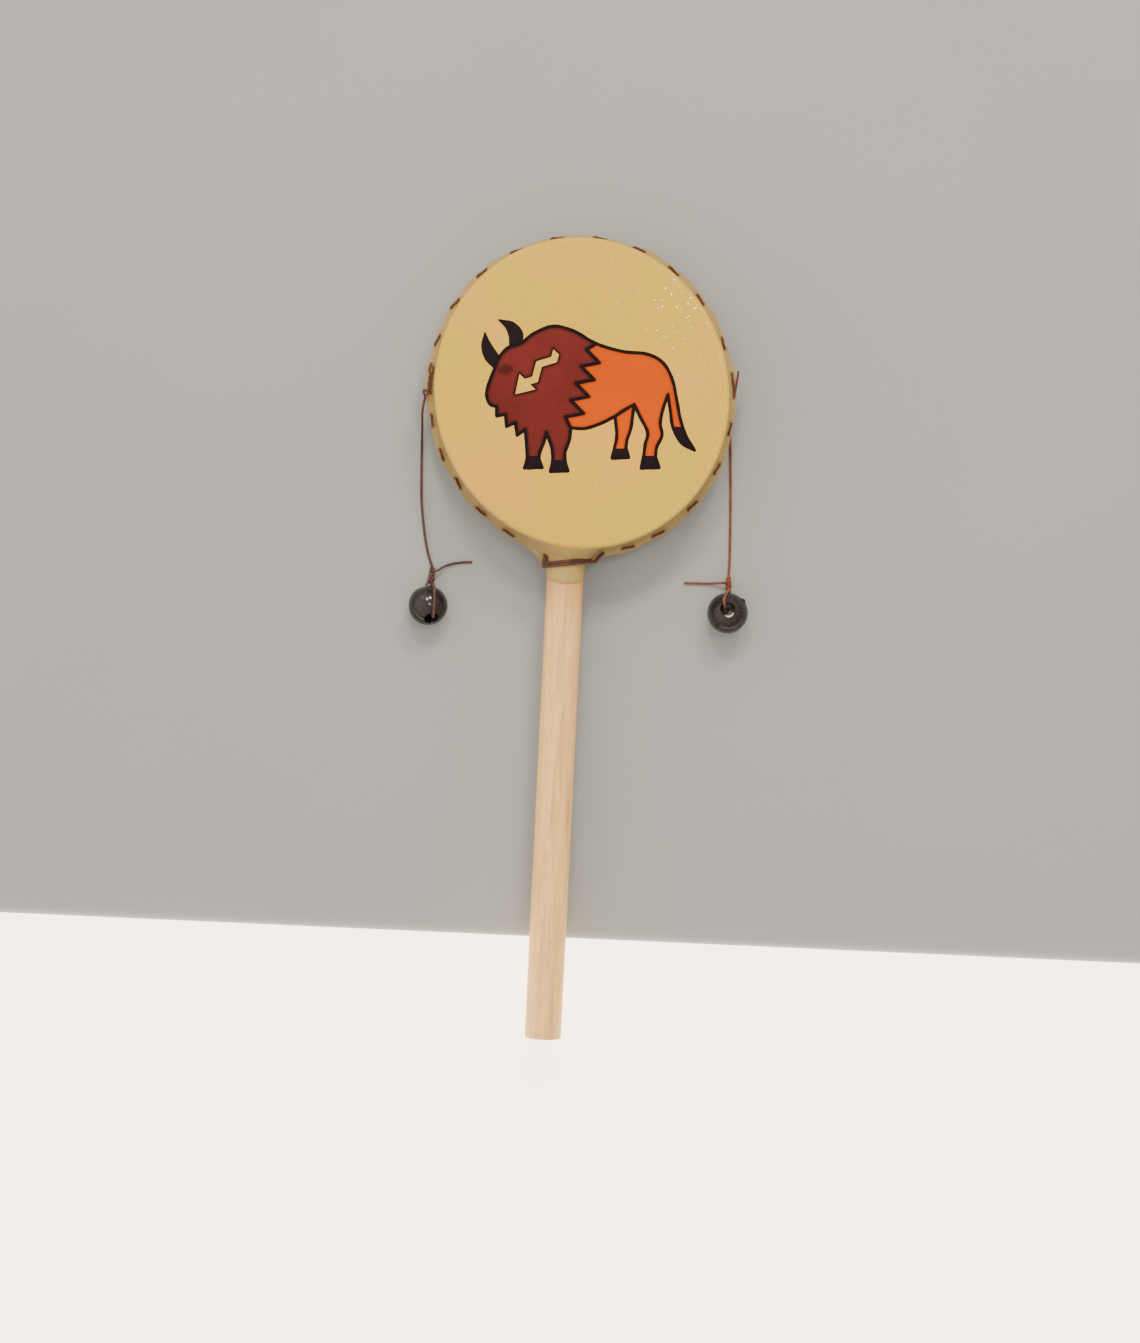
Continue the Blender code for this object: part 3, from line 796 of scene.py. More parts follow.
hide_grain = hide_grain_group()
print("nodes in hide grain:", len(hide_grain.nodes))

# %% [markdown]
# The rawhide reads four values painted on the mesh itself: "rim" grows from 0 on the face to 1 on the wall
# and the stitched flange, where the colour is browner, partly the hide's own edge and partly painted shade;
# "stain" marks the dark round the stitch holes, partly dirt and partly painted shade for the holes, which
# aren't cut; "varnish" says how thick the varnish lies, so how many blisters catch the light; and the last
# marks the band along the right edge where pale specks are painted in as glints, painted highlights.

# %% Material: rawhide
HIDE_ROUGHNESS = 0.5
HIDE_YELLOW = srgb(202, 171, 52)
HIDE_SAND = srgb(208, 168, 52)
HIDE_PINK = srgb(220, 162, 70)
# The browner rim: partly the hide's own edge and partly painted shade on the wall and flange.
HIDE_EDGE = srgb(163, 140, 92)
# The colour of the pale specks painted in as glints: painted highlights.
PAINTED_GLINT = srgb(250, 242, 214)
# Dark round the stitch holes: dirt and painted shade for the holes, which aren't cut.
HOLE_DIRT_AND_SHADE = srgb(104, 58, 26)


def hide_base(name, shine, depth=1.0, varnished=1.0):
    """A material with the hide grain in place, ready for its colours, and the grain's outputs."""
    made, tree = principled(name)
    inputs = {"Place": object_place(tree), "Depth": depth}
    grain = add(tree, "ShaderNodeGroup", inputs, node_tree=hide_grain).outputs
    most = calculate(tree, "MULTIPLY", grain["Blisters"], varnished)
    rough = calculate(tree, "MULTIPLY_ADD", grain["Grain"], 0.25, HIDE_ROUGHNESS - 0.12)
    dress(tree, {"Specular IOR Level": shine, "Normal": grain["Normal"], "Roughness": rough,
                 "Coat Weight": calculate(tree, "MULTIPLY", most, attribute(tree, "varnish")),
                 "Coat Normal": grain["Facets"], "Coat Roughness": 0.04, "Coat IOR": 1.55})
    return made, tree, grain


def rawhide_finish():
    made, tree, grain = hide_base("rawhide", 0.15)
    # The last layer is the browner rim, partly the hide's own edge and partly painted shade.
    colour = overlaid(tree, HIDE_YELLOW,
                      (remap(tree, grain["Patches"], 0.35, 0.65), HIDE_SAND),
                      (remap(tree, grain["Blush"], 0.45, 0.7, 0, 0.8), HIDE_PINK),
                      (remap(tree, attribute(tree, "rim"), 0, 1), HIDE_EDGE))
    fleck = remap(tree, grain["Grain"], 0.3, 0.7, 0.9, 1.08)
    # Painted highlights: pale specks painted in as glints where the band along the right edge meets a
    # blister.
    specks = calculate(tree, "MULTIPLY", grain["Blisters"], attribute(tree, "glint_specks"))
    # Then the dark ring round each stitch hole: dirt and painted shade for the hole.
    colour = overlaid(tree, blend(tree, 1.0, colour, fleck, "MULTIPLY"), (specks, PAINTED_GLINT),
                      (remap(tree, attribute(tree, "stain"), 0.05, 0.9, 0, 0.8), HOLE_DIRT_AND_SHADE))
    dress(tree, {"Base Color": colour})
    return made


rawhide = rawhide_finish()
print("rawhide made")

# %% [markdown]
# The paints are thin, so the hide's grain shows through them. Paint gathers beside a drawn line
# and dries darker there. The mesh carries that too, as "near_line". Each paint goes from a thick,
# dark state to a thin, light one.

# %% Materials: three paints
def paint_finish(name, thick, thin, line, shine):
    made, tree, grain = hide_base(name, shine, 0.7, 0.35)
    washed = remap(tree, grain["Patches"], 0.3, 0.7)
    speckled = remap(tree, grain["Grain"], 0.3, 0.7)
    share = calculate(tree, "MULTIPLY_ADD", washed, 0.5, calculate(tree, "MULTIPLY", speckled, 0.5))
    near = remap(tree, attribute(tree, "near_line"), 0.1, 1.0, 0, 0.75)
    dress(tree, {"Base Color": overlaid(tree, thick, (share, thin), (near, line))})
    return made


PAINTS = (
    rawhide,
    paint_finish("maroon paint", srgb(84, 30, 28), srgb(108, 38, 36), srgb(50, 20, 22), 0.05),
    paint_finish("orange paint", srgb(184, 70, 0), srgb(200, 80, 0), srgb(158, 50, 0), 0.0),
    paint_finish("black paint", srgb(20, 13, 18), srgb(32, 22, 28), srgb(20, 13, 18), 0.05),
)
BARE, MAROON, ORANGE, BLACK = range(4)
print("paints made")

# %% [markdown]
# ## The shape of a skin
# Each half of the drum is one wet hide pulled over the hoop. It is flat on the head, turns down
# over a rounded edge, drops as a wall and turns out again as a flange. There it meets the other
# hide and the two are stitched together. At the neck the wall slopes out into a funnel and a
# tongue of hide covers the top of the handle. All of that can be said with angles: for each
# direction from the head's middle there is one profile, a line of points giving the distance
# beyond the head's edge and the height over the seam. The cut edge isn't even: the knife left
# bumps, torn points and dips, and at the upper left and the left it ran closer to the stitches.

# %% The head's oval and the cut edge
NECK_TURN = math.radians(-1.4)
FLANGE = 2.85
RIM_MARKS = (
    # place in degrees, half width in degrees, size in mm
    (8, 5, 0.5), (25, 5, -0.35), (33, 3, 0.25), (48, 3, 0.25), (55, 3, -0.3), (67, 2.5, 0.65),
    (112, 7, -0.45), (127, 2.5, 0.75), (139, 3, 0.45), (150, 3, 0.45), (165, 4, 0.1),
    (192, 8, -0.9), (205, 4, 0.2), (216, 9, -1.2), (227, 3, 0.1), (236, 5, -1.3), (245, 4, -0.5),
    (265, 6, 0.3), (297, 4, -0.3), (330, 6, -0.1), (351, 5, -0.5),
)
# The marks on the back hide are smaller.
BACK_SHARE = 0.6
# The waves of the cut edge: how fine they are, and their size in mm.
CUT_WAVES = ((12, 0.12), (34, 0.08))
TRIMMED_FROM, TRIMMED_TO = 69.5, 166
TRIMMED_DEPTH = 1.15
TRIMMED_EASE = 2.0
# The extra reach at the neck: degrees from its middle, negative on the left, and mm.
NECK_REACH = (
    (-17, 0), (-14, 0.7), (-12, 1.7), (-10, 2.9), (-8.6, 3.9), (-8.0, 4.6), (-7.4, 5.4),
    (-6.9, 6.4), (-6.3, 7.8), (-5.7, 8.2), (-4, 8.6), (-1, 8.9), (1.5, 8.6), (3.4, 8.2), (4.3, 7.8),
    (4.8, 7.0), (5.2, 5.2), (5.6, 3.4), (6.0, 2.5), (7.0, 2.0), (7.8, 1.6), (8.6, 1.0), (10, 0.3), (12, 0),
)


def between(table, where):
    """Straight interpolation in a table of (position, value)."""
    for (a, low), (b, high) in zip(table, table[1:]):
        if where <= b:
            return low + (high - low) * max(0.0, (where - a) / (b - a))
    return table[-1][1]


def around(angle, radius, z):
    return Vector((radius * math.cos(angle), radius * math.sin(angle), z))


def clamped(value):
    return min(1.0, max(0.0, value))


def bell(distance, width):
    """A smooth bump: 1 at no distance, and almost nothing beyond twice the width."""
    return math.exp(-((distance / width) ** 2))


def face_radius(angle):
    """From the head's centre to the edge of its oval face."""
    along = math.cos(angle - OVAL_TURN) / FACE_HALF_WIDTH
    across = math.sin(angle - OVAL_TURN) / FACE_HALF_LENGTH
    return 1 / math.hypot(along, across)


def degrees_past(angle, place):
    return math.degrees(math.remainder(angle - math.radians(place), 2 * math.pi))


def neck_offset(angle):
    return math.degrees(math.remainder(angle + math.pi / 2 - NECK_TURN, 2 * math.pi))


def skin_reach(angle, side):
    """How far beyond the head's edge the hide is cut. The two hides differ a little."""
    entering = 1 / (1 + math.exp(-degrees_past(angle, TRIMMED_FROM) / TRIMMED_EASE))
    leaving = 1 / (1 + math.exp(degrees_past(angle, TRIMMED_TO) / (2 * TRIMMED_EASE)))
    reach = FLANGE - TRIMMED_DEPTH * entering * leaving
    reach += between(NECK_REACH, neck_offset(angle))
    for place, width, size in RIM_MARKS:
        reach += size * (1.0 if side > 0 else BACK_SHARE) * bell(degrees_past(angle, place), width)
    where = around(angle, 1.0, 0.3 * side)
    for fineness, size in CUT_WAVES:
        reach += size * noise.noise(where * fineness)
    return reach * MM


print("head in mm:", round(2 * face_radius(0) / MM, 1), "x", round(2 * face_radius(math.pi / 2) / MM, 1))

# %% [markdown]
# Where the wall, the tongue over the handle and the flange meet, the hide can't crease, so their
# heights are joined by a smooth maximum. The profile's points are then spread evenly along it and
# eased a few times, which rounds the corner at the foot of the wall.

# %% One profile
WALL_RUN = 0.3 * MM
FUNNEL_RUN = 10.2 * MM
NECK_LEFT = 17
NECK_RIGHT = 11.5
COVER_RADIUS = HANDLE_RADIUS + SKIN + 0.12 * MM
FLANGE_TOP = SKIN + 0.07 * MM
FLAT_MARGIN = 0.6 * MM
EDGE_STEPS = 10
PROFILE_ROWS = 38
RAW_STEPS = 50
EASE_PASSES = 3


def smooth_max(a, b, ease):
    return (a + b + math.hypot(a - b, ease)) / 2


def raw_profile(angle, side):
    off = neck_offset(angle)
    share = max(0.0, 1 - abs(off) / (NECK_LEFT if off < 0 else NECK_RIGHT))
    run = WALL_RUN + FUNNEL_RUN * share
    top = SEAM_Z - FACE_EDGE
    reach = skin_reach(angle, side)
    points = [Vector((-FACE_EDGE - FLAT_MARGIN, SEAM_Z))]
    for i in range(EDGE_STEPS + 1):
        turn = math.pi / 2 * i / EDGE_STEPS
        points.append(Vector((FACE_EDGE * (math.sin(turn) - 1), top + FACE_EDGE * math.cos(turn))))
    steps = [i / RAW_STEPS for i in range(1, RAW_STEPS + 1)]
    places = [run * step for step in steps if run * step < reach]
    if reach > run:
        places += [run + (reach - run) * step for step in steps]
    for beyond in places:
        height = top * (1 - beyond / run)
        if share > 0:
            sideways = (face_radius(angle) + beyond) * math.cos(angle) - HANDLE_X
            cover = math.sqrt(max(0.0, COVER_RADIUS**2 - sideways**2))
            height = smooth_max(height, cover, 0.7 * MM * share)
        points.append(Vector((beyond, smooth_max(height, FLANGE_TOP, 0.2 * MM))))
    return points


def profile(angle, side):
    raw = raw_profile(angle, side)
    points = evenly(raw, length_of(raw) / PROFILE_ROWS)
    for _ in range(EASE_PASSES):
        middle = [(a + 2 * b + c) / 4 for a, b, c in zip(points, points[1:], points[2:])]
        points = points[:1] + middle + points[-1:]
    return points


print("points in a profile:", len(profile(0.0, 1)))

# %% [markdown]
# ## The painted bison
# The front head carries a bison with a heart line, a traditional figure: a bare arrow runs from
# the mouth to the heart. It is laid in with two paints, maroon in front and orange behind, inside
# a black outline. This one is a plain figure made for this drum, from a few dozen points. Each
# run of points is one stroke of the brush, which bends smoothly, and a corner starts a new run.

# %% The bison's strokes
START = (-20.5, 17.2)
OUTLINE = (
    # the hump, the back, the rump and the tail
    ((-16.5, 20.4), (-10, 22.8), (-3, 21.2), (5, 16.8), (14, 14.2), (22, 13.4), (27.5, 10.6),
     (30.8, 5), (32.4, -2), (33.6, -8.5), (35.6, -14.5), (38.6, -19.6)),
    ((34.2, -17.2), (31.2, -12), (30.2, -6), (29.4, -0.5)),
    # the hind legs, the near one first
    ((27.6, -6), (26.8, -10.5), (27.4, -14.5), (25.6, -18.5), (25.2, -21.8)), ((26.4, -25.6),),
    ((20.2, -25.8),), ((21, -21.8), (21.6, -17.5), (22.4, -13.5), (20, -8.5), (17.8, -4)),
    ((17.2, -8.5), (16.6, -12.5), (15.4, -16), (15, -18.8)), ((16, -22.2),), ((10.2, -22.4),),
    ((11, -18.8), (11.8, -14.5), (11.2, -8)),
    # the belly, then the front legs
    ((6.5, -10.4), (1, -12.2), (-4, -12)),
    ((-4.4, -16), (-5.8, -20), (-6, -23.2)), ((-4.9, -26.8),), ((-11, -27),),
    ((-10.2, -23), (-10.6, -18.5), (-12.4, -13.6)),
    ((-13.2, -17), (-14.6, -20.5), (-14.9, -22.6)), ((-13.8, -25.6),), ((-19.9, -25.8),),
    ((-19, -22.4), (-19.2, -17.5), (-19.6, -12.6)),
    # the beard, the muzzle and the brow
    ((-22.4, -14.6),), ((-23, -10.2),), ((-26, -11.6),), ((-26.4, -7.4),), ((-29.4, -8),),
    ((-29.4, -4.8),), ((-31.8, -3.8), (-32.9, -0.6), (-32, 3.4), (-30.2, 8)),
    ((-28.6, 12), (-25.8, 15.2), (-22.8, 16.2), START),
)
BELLY_LINE = ((11.2, -8), (14.5, -5.8), (17.8, -4))
HORNS = (
    ((-30.2, 8.4), ((-33.2, 11.6), (-34.4, 16), (-33.4, 20.4)),
     ((-31.8, 17.2), (-30, 14.4), (-28.4, 12.2)), ((-30.2, 8.4),)),
    ((-20.8, 17), ((-20.6, 20.6), (-23.6, 23.9), (-28.6, 24.9)),
     ((-26.2, 22.2), (-25, 19.2), (-24.9, 15.6)), ((-20.8, 17),)),
)
# The eye has no stroke of its own: the paint is only darker round it.
EYE = ((-28.2, 7.6), (-26.4, 8.9), (-24.4, 8.2), (-26.2, 6.9))
EYE_MIDDLE = (-26.3, 7.9)
print("strokes in the outline:", len(OUTLINE))

# %% [markdown]
# Two lines are regular enough for a rule: the zigzag where the paints meet, and the heart line,
# which waves from the heart to the mouth and ends in an arrowhead. The hooves and the tail's tuft
# are black: whatever part of the body lies in one of these boxes gets black paint.

# %% The zigzag, the heart line and the black tips
ZIGZAG_FROM, ZIGZAG_TO = Vector((5, 16.9)), Vector((-4, -12))
TEETH = 5
TOOTH_REACH = 2.8
ORANGE_BEYOND = ((0, -30), (38, -30), (44, -20), (44, 20), (6, 20))
HEART, MOUTH = Vector((-9, 14)), Vector((-23, -0.5))
HEART_LINE_BENDS = 3
HEART_LINE_SWAY = 1.3
HEART_LINE_HALF = 1.3
ARROWHEAD = 6.0
ARROWHEAD_HALF = 3.8
BLACK_TIPS = (
    # left, right, bottom, top
    (19.0, 27.5, -28, -21.5), (9.5, 17.0, -24, -19), (-12.5, -4.0, -29, -23), (-21.3, -13.2, -28, -21.6),
    (31.0, 40.5, -22, -11.5),
)


def zigzag():
    """Teeth to both sides of the line between the paints, from the back to the belly."""
    down = ZIGZAG_TO - ZIGZAG_FROM
    side = Vector((-down.y, down.x)).normalized() * TOOTH_REACH
    teeth = [ZIGZAG_FROM + down * (i + 1) / (2 * TEETH) + side * (1 if i % 2 else -1)
             for i in range(2 * TEETH - 1)]
    return [ZIGZAG_FROM, *teeth, ZIGZAG_TO]


def heart_line():
    """Round the arrow: one side of the waving shaft, the head, and the other side back."""
    ahead = (MOUTH - HEART).normalized()
    side = Vector((-ahead.y, ahead.x))
    shaft = (MOUTH - HEART).length - ARROWHEAD
    steps = 2 * HEART_LINE_BENDS
    middle = []
    for i in range(steps + 1):
        sway = HEART_LINE_SWAY * math.sin(math.pi / 2 * i) if i < steps else 0
        middle.append(HEART + ahead * shaft * i / steps + side * sway)
    left = [p + side * HEART_LINE_HALF for p in middle]
    right = [p - side * HEART_LINE_HALF for p in middle]
    head = [middle[-1] + side * ARROWHEAD_HALF, MOUTH, middle[-1] - side * ARROWHEAD_HALF]
    return left + head + right[::-1]


print("points in the arrow:", len(heart_line()))

# %% [markdown]
# A stroke becomes a ribbon, a little wider here and narrower there as a brush leaves it, with
# round ends, so that strokes join without gaps. The picture could be an image, but cutting the
# mesh along the paint keeps every edge crisp from any distance, so the ribbons and the colour
# fields become outlines to cut along.

# %% From strokes to shapes
PICTURE_TURN = Matrix.Rotation(math.radians(2.8), 2)
STROKE = 1.2
HORN_STROKE = 0.6
ARROW_STROKE = 1.1
STROKE_STEP = 0.6
CAP_STEPS = 5
# How much a stroke's width varies, and how quickly along it.
BRUSH_SWELL = 0.16
BRUSH_RHYTHM = 0.45


def placed(points):
    """Points of the drawing, turned to lie as the picture does on the drum."""
    return [PICTURE_TURN @ Vector(p) for p in points]


def stroke_runs(start, runs):
    """Each run as a smooth line, from the end of the run before it."""
    lines = []
    for run in runs:
        knots = placed([start, *run])
        lines.append(evenly(catmull_rom(knots) if len(knots) > 2 else knots, STROKE_STEP))
        start = run[-1]
    return lines


def straight_sides(points):
    """The closed outline through these corners, one line for each side."""
    return stroke_runs(points[-1], [(p,) for p in points])


def ribbon(line, width):
    """The outline of a brush stroke along the line, counter-clockwise."""
    left, right = [], []
    for before, point, after in zip(line[:1] + line, line, line[1:] + line[-1:]):
        ahead = (after - before).normalized()
        out = Vector((-ahead.y, ahead.x))
        where = Vector((point.x * BRUSH_RHYTHM, point.y * BRUSH_RHYTHM, 2.0))
        half = width / 2 * (1 + BRUSH_SWELL * noise.noise(where))
        left.append(point + out * half)
        right.append(point - out * half)

    def cap(centre, start):
        turns = [Matrix.Rotation(math.pi * i / CAP_STEPS, 2) for i in range(1, CAP_STEPS)]
        return [centre + turn @ (start - centre) for turn in turns]

    return right + cap(line[-1], right[-1]) + left[::-1] + cap(line[0], left[0])


def closed_shape(lines):
    """One closed outline from joined lines, counter-clockwise."""
    points = [p for line in lines for p in line[:-1]]
    area = sum(a.x * b.y - b.x * a.y for a, b in zip(points, points[1:] + points[:1]))
    return points if area > 0 else points[::-1]


def picture_shapes():
    """(kind, outline) pairs and the middle lines of all the strokes."""
    edge = zigzag()
    outline = stroke_runs(START, OUTLINE)
    fine = straight_sides(heart_line())
    eye = straight_sides(EYE)
    shapes = [("body", closed_shape(outline)),
              ("orange", closed_shape(straight_sides([*edge, *ORANGE_BEYOND]))),
              ("bare", closed_shape(fine))]
    for left, right, bottom, top in BLACK_TIPS:
        box = [(left, bottom), (right, bottom), (right, top), (left, top)]
        shapes.append(("tip", closed_shape(straight_sides(box))))
    for start, *horn in HORNS:
        lines = stroke_runs(start, horn)
        shapes.append(("black", closed_shape(lines)))
        shapes += [("black", ribbon(line, HORN_STROKE)) for line in lines]
    strokes = outline + stroke_runs(BELLY_LINE[0], [BELLY_LINE[1:]]) + straight_sides(edge)[1:]
    shapes += [("black", ribbon(line, STROKE)) for line in strokes]
    shapes += [("fine", ribbon(line, ARROW_STROKE)) for line in fine]
    shapes.append(("eye", closed_shape(eye)))
    return shapes, strokes + fine + eye + [placed([EYE_MIDDLE])]


shapes, strokes = picture_shapes()
print("shapes to cut along:", len(shapes))

# %% [markdown]
# The Delaunay tool takes all those outlines at once and gives back one sheet of triangles cut
# along every one of them, and for each triangle the list of outlines it lies in. That list says
# which paint it gets. A grid of extra points keeps the triangles small where the paint is, so
# that the darker paint beside the strokes can be stored on the points.

# %% Cut the head along the paint
CLOSE_GRID = 1.1
WIDE_GRID = 3.0
GRID_HALF = 60
GRID_MARGIN = 3.0
# The distance between the rows of an even grid of triangles with sides of 1.
ROW_STEP = 0.866
PICTURE_REACH = 42


def grid_points(with_picture):
    """Loose points on the head, closer together where the picture is."""
    spacing = CLOSE_GRID if with_picture else WIDE_GRID
    found = []
    count = int(GRID_HALF / spacing)
    for i in range(-count, count + 1):
        for j in range(-count, count + 1):
            point = Vector(((i + 0.5 * (j % 2)) * spacing, j * spacing * ROW_STEP))
            edge = face_radius(math.atan2(point.y, point.x)) / MM - GRID_MARGIN
            thinned = with_picture and point.length > PICTURE_REACH and (i % 2 or j % 2)
            if point.length <= edge and not thinned:
                found.append(point)
    return found


def paint_of(kinds):
    if "black" in kinds or ("fine" in kinds and "bare" not in kinds):
        return BLACK
    if "body" not in kinds or "bare" in kinds:
        return BARE
    if "tip" in kinds:
        return BLACK
    return ORANGE if "orange" in kinds else MAROON


def head_sheet(ring, with_picture):
    """Flat triangles inside the ring, in millimetres, and the paint of each."""
    outlines = [("head", ring)] + (shapes if with_picture else [])
    points, faces = [], []
    for _, outline in outlines:
        faces.append(list(range(len(points), len(points) + len(outline))))
        points += outline
    points += grid_points(with_picture)
    places, _, triangles, _, _, inside = delaunay_2d_cdt(points, [], faces, 1, 1e-5, True)
    kept = [(t, {outlines[f][0] for f in found}) for t, found in zip(triangles, inside) if 0 in found]
    return places, [t for t, _ in kept], [paint_of(kinds) for _, kinds in kept]


print("loose points on the painted head:", len(grid_points(True)))

# %% [markdown]
# Each hide is marked on its points: a dark ring and a dimple round each stitch hole, the ring partly dirt
# and partly painted shade for the hole, the nearness of a brush stroke, the varnish, which lies thickest at
# the upper right, and the band along the right edge where pale specks are painted in as glints.

# %% The stitch holes and the marks on a skin
DASH_HALF = 2.3
DASHES = (-70, -58, -42, -25.5, -10, 23, 41.5, 56, 71, 86, 101.5, 117, 132, 147, 162, 192.5, 206, 218.5,
          232, 245)
LACE_INSET = 1.8 * MM
LEAST_MARGIN = 0.4 * MM
NECK_HOLES = ((8.6, -56.2, 12.5), (-9.4, -56.7, 14))
DIMPLE = 0.14 * MM
DIMPLE_WIDTH = 0.9 * MM
NEAR_LINE = 1.2 * MM
NEAR_REACH = 46 * MM
VARNISH_SPOT = Vector((29, 30, 0)) * MM
VARNISH_REACH = 14 * MM
VARNISH_LEAST = 0.04
# The band of pale specks painted as glints along the right edge: its distance in from the edge, width,
# strength and middle.
GLINT_SPECKS_FROM_EDGE = 1.3 * MM
GLINT_SPECKS_WIDTH = 0.5 * MM
GLINT_SPECKS_MOST = 0.75
GLINT_SPECKS_MIDDLE = math.radians(5)


def seam_place(degrees, height, outwards=0.0):
    """A point over the stitching line, this far over or under the seam."""
    angle = math.radians(degrees)
    radius = face_radius(angle) + min(LACE_INSET, skin_reach(angle, 1) - LEAST_MARGIN) + outwards
    return around(angle, radius, SEAM_Z + height)


holes = [seam_place(middle + half, 0) for middle in DASHES for half in (-DASH_HALF, DASH_HALF)]
holes += [Vector((place.x, place.y, SEAM_Z)) for place in in_mm(NECK_HOLES)]


def mark_skin(working, side, with_picture, layers):
    """Store the marks on the points of a skin."""
    line_points = [Vector((*p, 0)) * MM for line in strokes for p in line]
    tree = KDTree(len(line_points))
    for i, point in enumerate(line_points):
        tree.insert(point, i)
    tree.balance()
    for vert in working.verts:
        flat = Vector((vert.co.x, vert.co.y, 0))
        angle = math.atan2(flat.y, flat.x)
        inside = face_radius(angle) - flat.length
        # The band of pale specks painted as glints, painted highlights, strongest towards the right.
        specks = GLINT_SPECKS_MOST * max(0.0, math.cos(angle - GLINT_SPECKS_MIDDLE))
        vert[layers["varnish"]] = VARNISH_LEAST + bell((flat - VARNISH_SPOT).length, VARNISH_REACH)
        vert[layers["glint_specks"]] = specks * bell(inside - GLINT_SPECKS_FROM_EDGE, GLINT_SPECKS_WIDTH)
        if inside < 0:
            # Round each stitch hole: a dimple, and a dark ring of dirt and painted shade for the hole.
            mark = bell(min((vert.co - hole).length for hole in holes), DIMPLE_WIDTH)
            vert[layers["stain"]] = mark
            vert.co.z -= side * DIMPLE * mark
        elif with_picture and flat.length < NEAR_REACH:
            vert[layers["near_line"]] = bell(tree.find(flat)[2], NEAR_LINE)


print("stitches on the front:", len(DASHES))

# %% [markdown]
# Now a whole skin: the profiles as a grid of quads in narrow columns, a little uneven on the wall
# and the flange, and the sheet for the flat head inside it. Doubled points along the ring are
# merged, and Solidify gives the hide its thickness on the inner side.

# %% Build a skin
WIDE_COLUMN = 0.5
NECK_COLUMN = 0.4
NECK_HALF = 20
FLANGE_WAVE = 0.22 * MM
WALL_WAVE = 0.13 * MM
# Three parts of the noise, one for each direction. They are fixed, so every run is the same.
WAVE_SHIFTS = ((0, 0, 0), (31.7, 0, 0), (0, 47.3, 0))
SHARP_HIDE = math.radians(40)
MERGE_WITHIN = 0.002 * MM
# The row of a profile where the edge's colour begins, and the rows that it takes to grow.
RIM_START = 1
RIM_ROWS = 6
# The row where the unevenness begins.
WAVE_START = 3
# The hide over the handle keeps more of the face's colour than the flange does.
NECK_COLOUR = ((-10, 1.0), (-7, 0.75), (5, 0.75), (8, 1.0))


def skin_columns():
    """The direction of every column, in radians, closer together at the neck."""
    neck = int(2 * NECK_HALF / NECK_COLUMN)
    wide = int((360 - 2 * NECK_HALF) / WIDE_COLUMN)
    degrees = [-NECK_HALF + NECK_COLUMN * i for i in range(neck)]
    degrees += [NECK_HALF + WIDE_COLUMN * i for i in range(wide)]
    return [math.radians(d) - math.pi / 2 + NECK_TURN for d in degrees]


def unevenness(place, share):
    """How far the dried hide strays from its plan, more towards the flange."""
    where = Vector((place.x, place.y, place.z * 0.5)) * 170
    waves = Vector([noise.noise(where + Vector(shift)) for shift in WAVE_SHIFTS]) * WALL_WAVE
    lift = noise.noise(Vector((place.x, place.y, 0)) * 95) * FLANGE_WAVE
    return waves * min(1, 3 * share) + Vector((0, 0, lift * share**2))


def skin_sheet(side, with_picture):
    """The outer surface of a skin, with its paints and marks."""
    working = bmesh.new()
    names = ("rim", "stain", "near_line", "varnish", "glint_specks")
    layers = {name: working.verts.layers.float.new(name) for name in names}
    grid = []
    for angle in skin_columns():
        browner = between(NECK_COLOUR, neck_offset(angle))
        points = profile(angle, side)
        column = []
        for row, (beyond, height) in enumerate(points):
            place = around(angle, face_radius(angle) + beyond, SEAM_Z + side * height)
            share = max(0.0, (row - WAVE_START) / (len(points) - 1 - WAVE_START))
            vert = working.verts.new(place + unevenness(place, share))
            # The browner rim, less over the handle: partly the hide's edge and partly painted shade.
            vert[layers["rim"]] = browner * clamped((row - RIM_START) / RIM_ROWS)
            column.append(vert)
        grid.append(column)
    lay_quads(working, grid + grid[:1], False)
    ring = [Vector(column[0].co[:2]) / MM for column in grid]
    places, triangles, paints = head_sheet(ring, with_picture)
    verts = [working.verts.new((p.x * MM, p.y * MM, SEAM_Z + side * SEAM_Z)) for p in places]
    for corners, paint in zip(triangles, paints):
        working.faces.new([verts[i] for i in corners]).material_index = paint
    bmesh.ops.remove_doubles(working, verts=working.verts, dist=MERGE_WITHIN)
    if side < 0:
        bmesh.ops.reverse_faces(working, faces=working.faces)
    mark_skin(working, side, with_picture, layers)
    return working


for name, side, with_picture in (("front", 1, True), ("back", -1, False)):
    working = skin_sheet(side, with_picture)
    mesh = bpy.data.meshes.new(name + "_hide")
    working.to_mesh(mesh)
    working.free()
    for paint in PAINTS:
        mesh.materials.append(paint)
    sheet = new_object(name + " sheet", mesh)
    wall = sheet.modifiers.new("thickness", "SOLIDIFY")
    wall.thickness = SKIN
    wall.offset = -1
    wall.material_offset = -BLACK
    hide = declare(settle(name + "_hide", sheet), "rawhide", name + "_skin")
    hide.data.set_sharp_from_angle(angle=SHARP_HIDE)
    hide.data.calc_loop_triangles()
    print(name, "hide triangles:", len(hide.data.loop_triangles))

# %% [markdown]
# ## The handle
# The handle is a bare dowel. Its grain runs along it: fine streaks a few centimetres long, short dark pores,
# and here and there a broader darker band. The same wood grain serves the hoop, whose fibres run round the
# ring, so the grain is a group and each material tells it where to look. The cut ends of a dowel are darker
# than its side, because the open fibres drink in dirt, and near the head the handle is darker with painted
# shade from the head, so the mesh marks both.

# %% Materials: dowel and hoop wood
DOWEL_PALE = srgb(250, 202, 130)
DOWEL_WARM = srgb(236, 184, 114)
DOWEL_PINK = srgb(252, 196, 140)
DOWEL_BAND = srgb(186, 138, 84)
DOWEL_PORE = srgb(150, 104, 62)
HOOP_PALE = srgb(200, 156, 100)
HOOP_WARM = srgb(172, 126, 74)


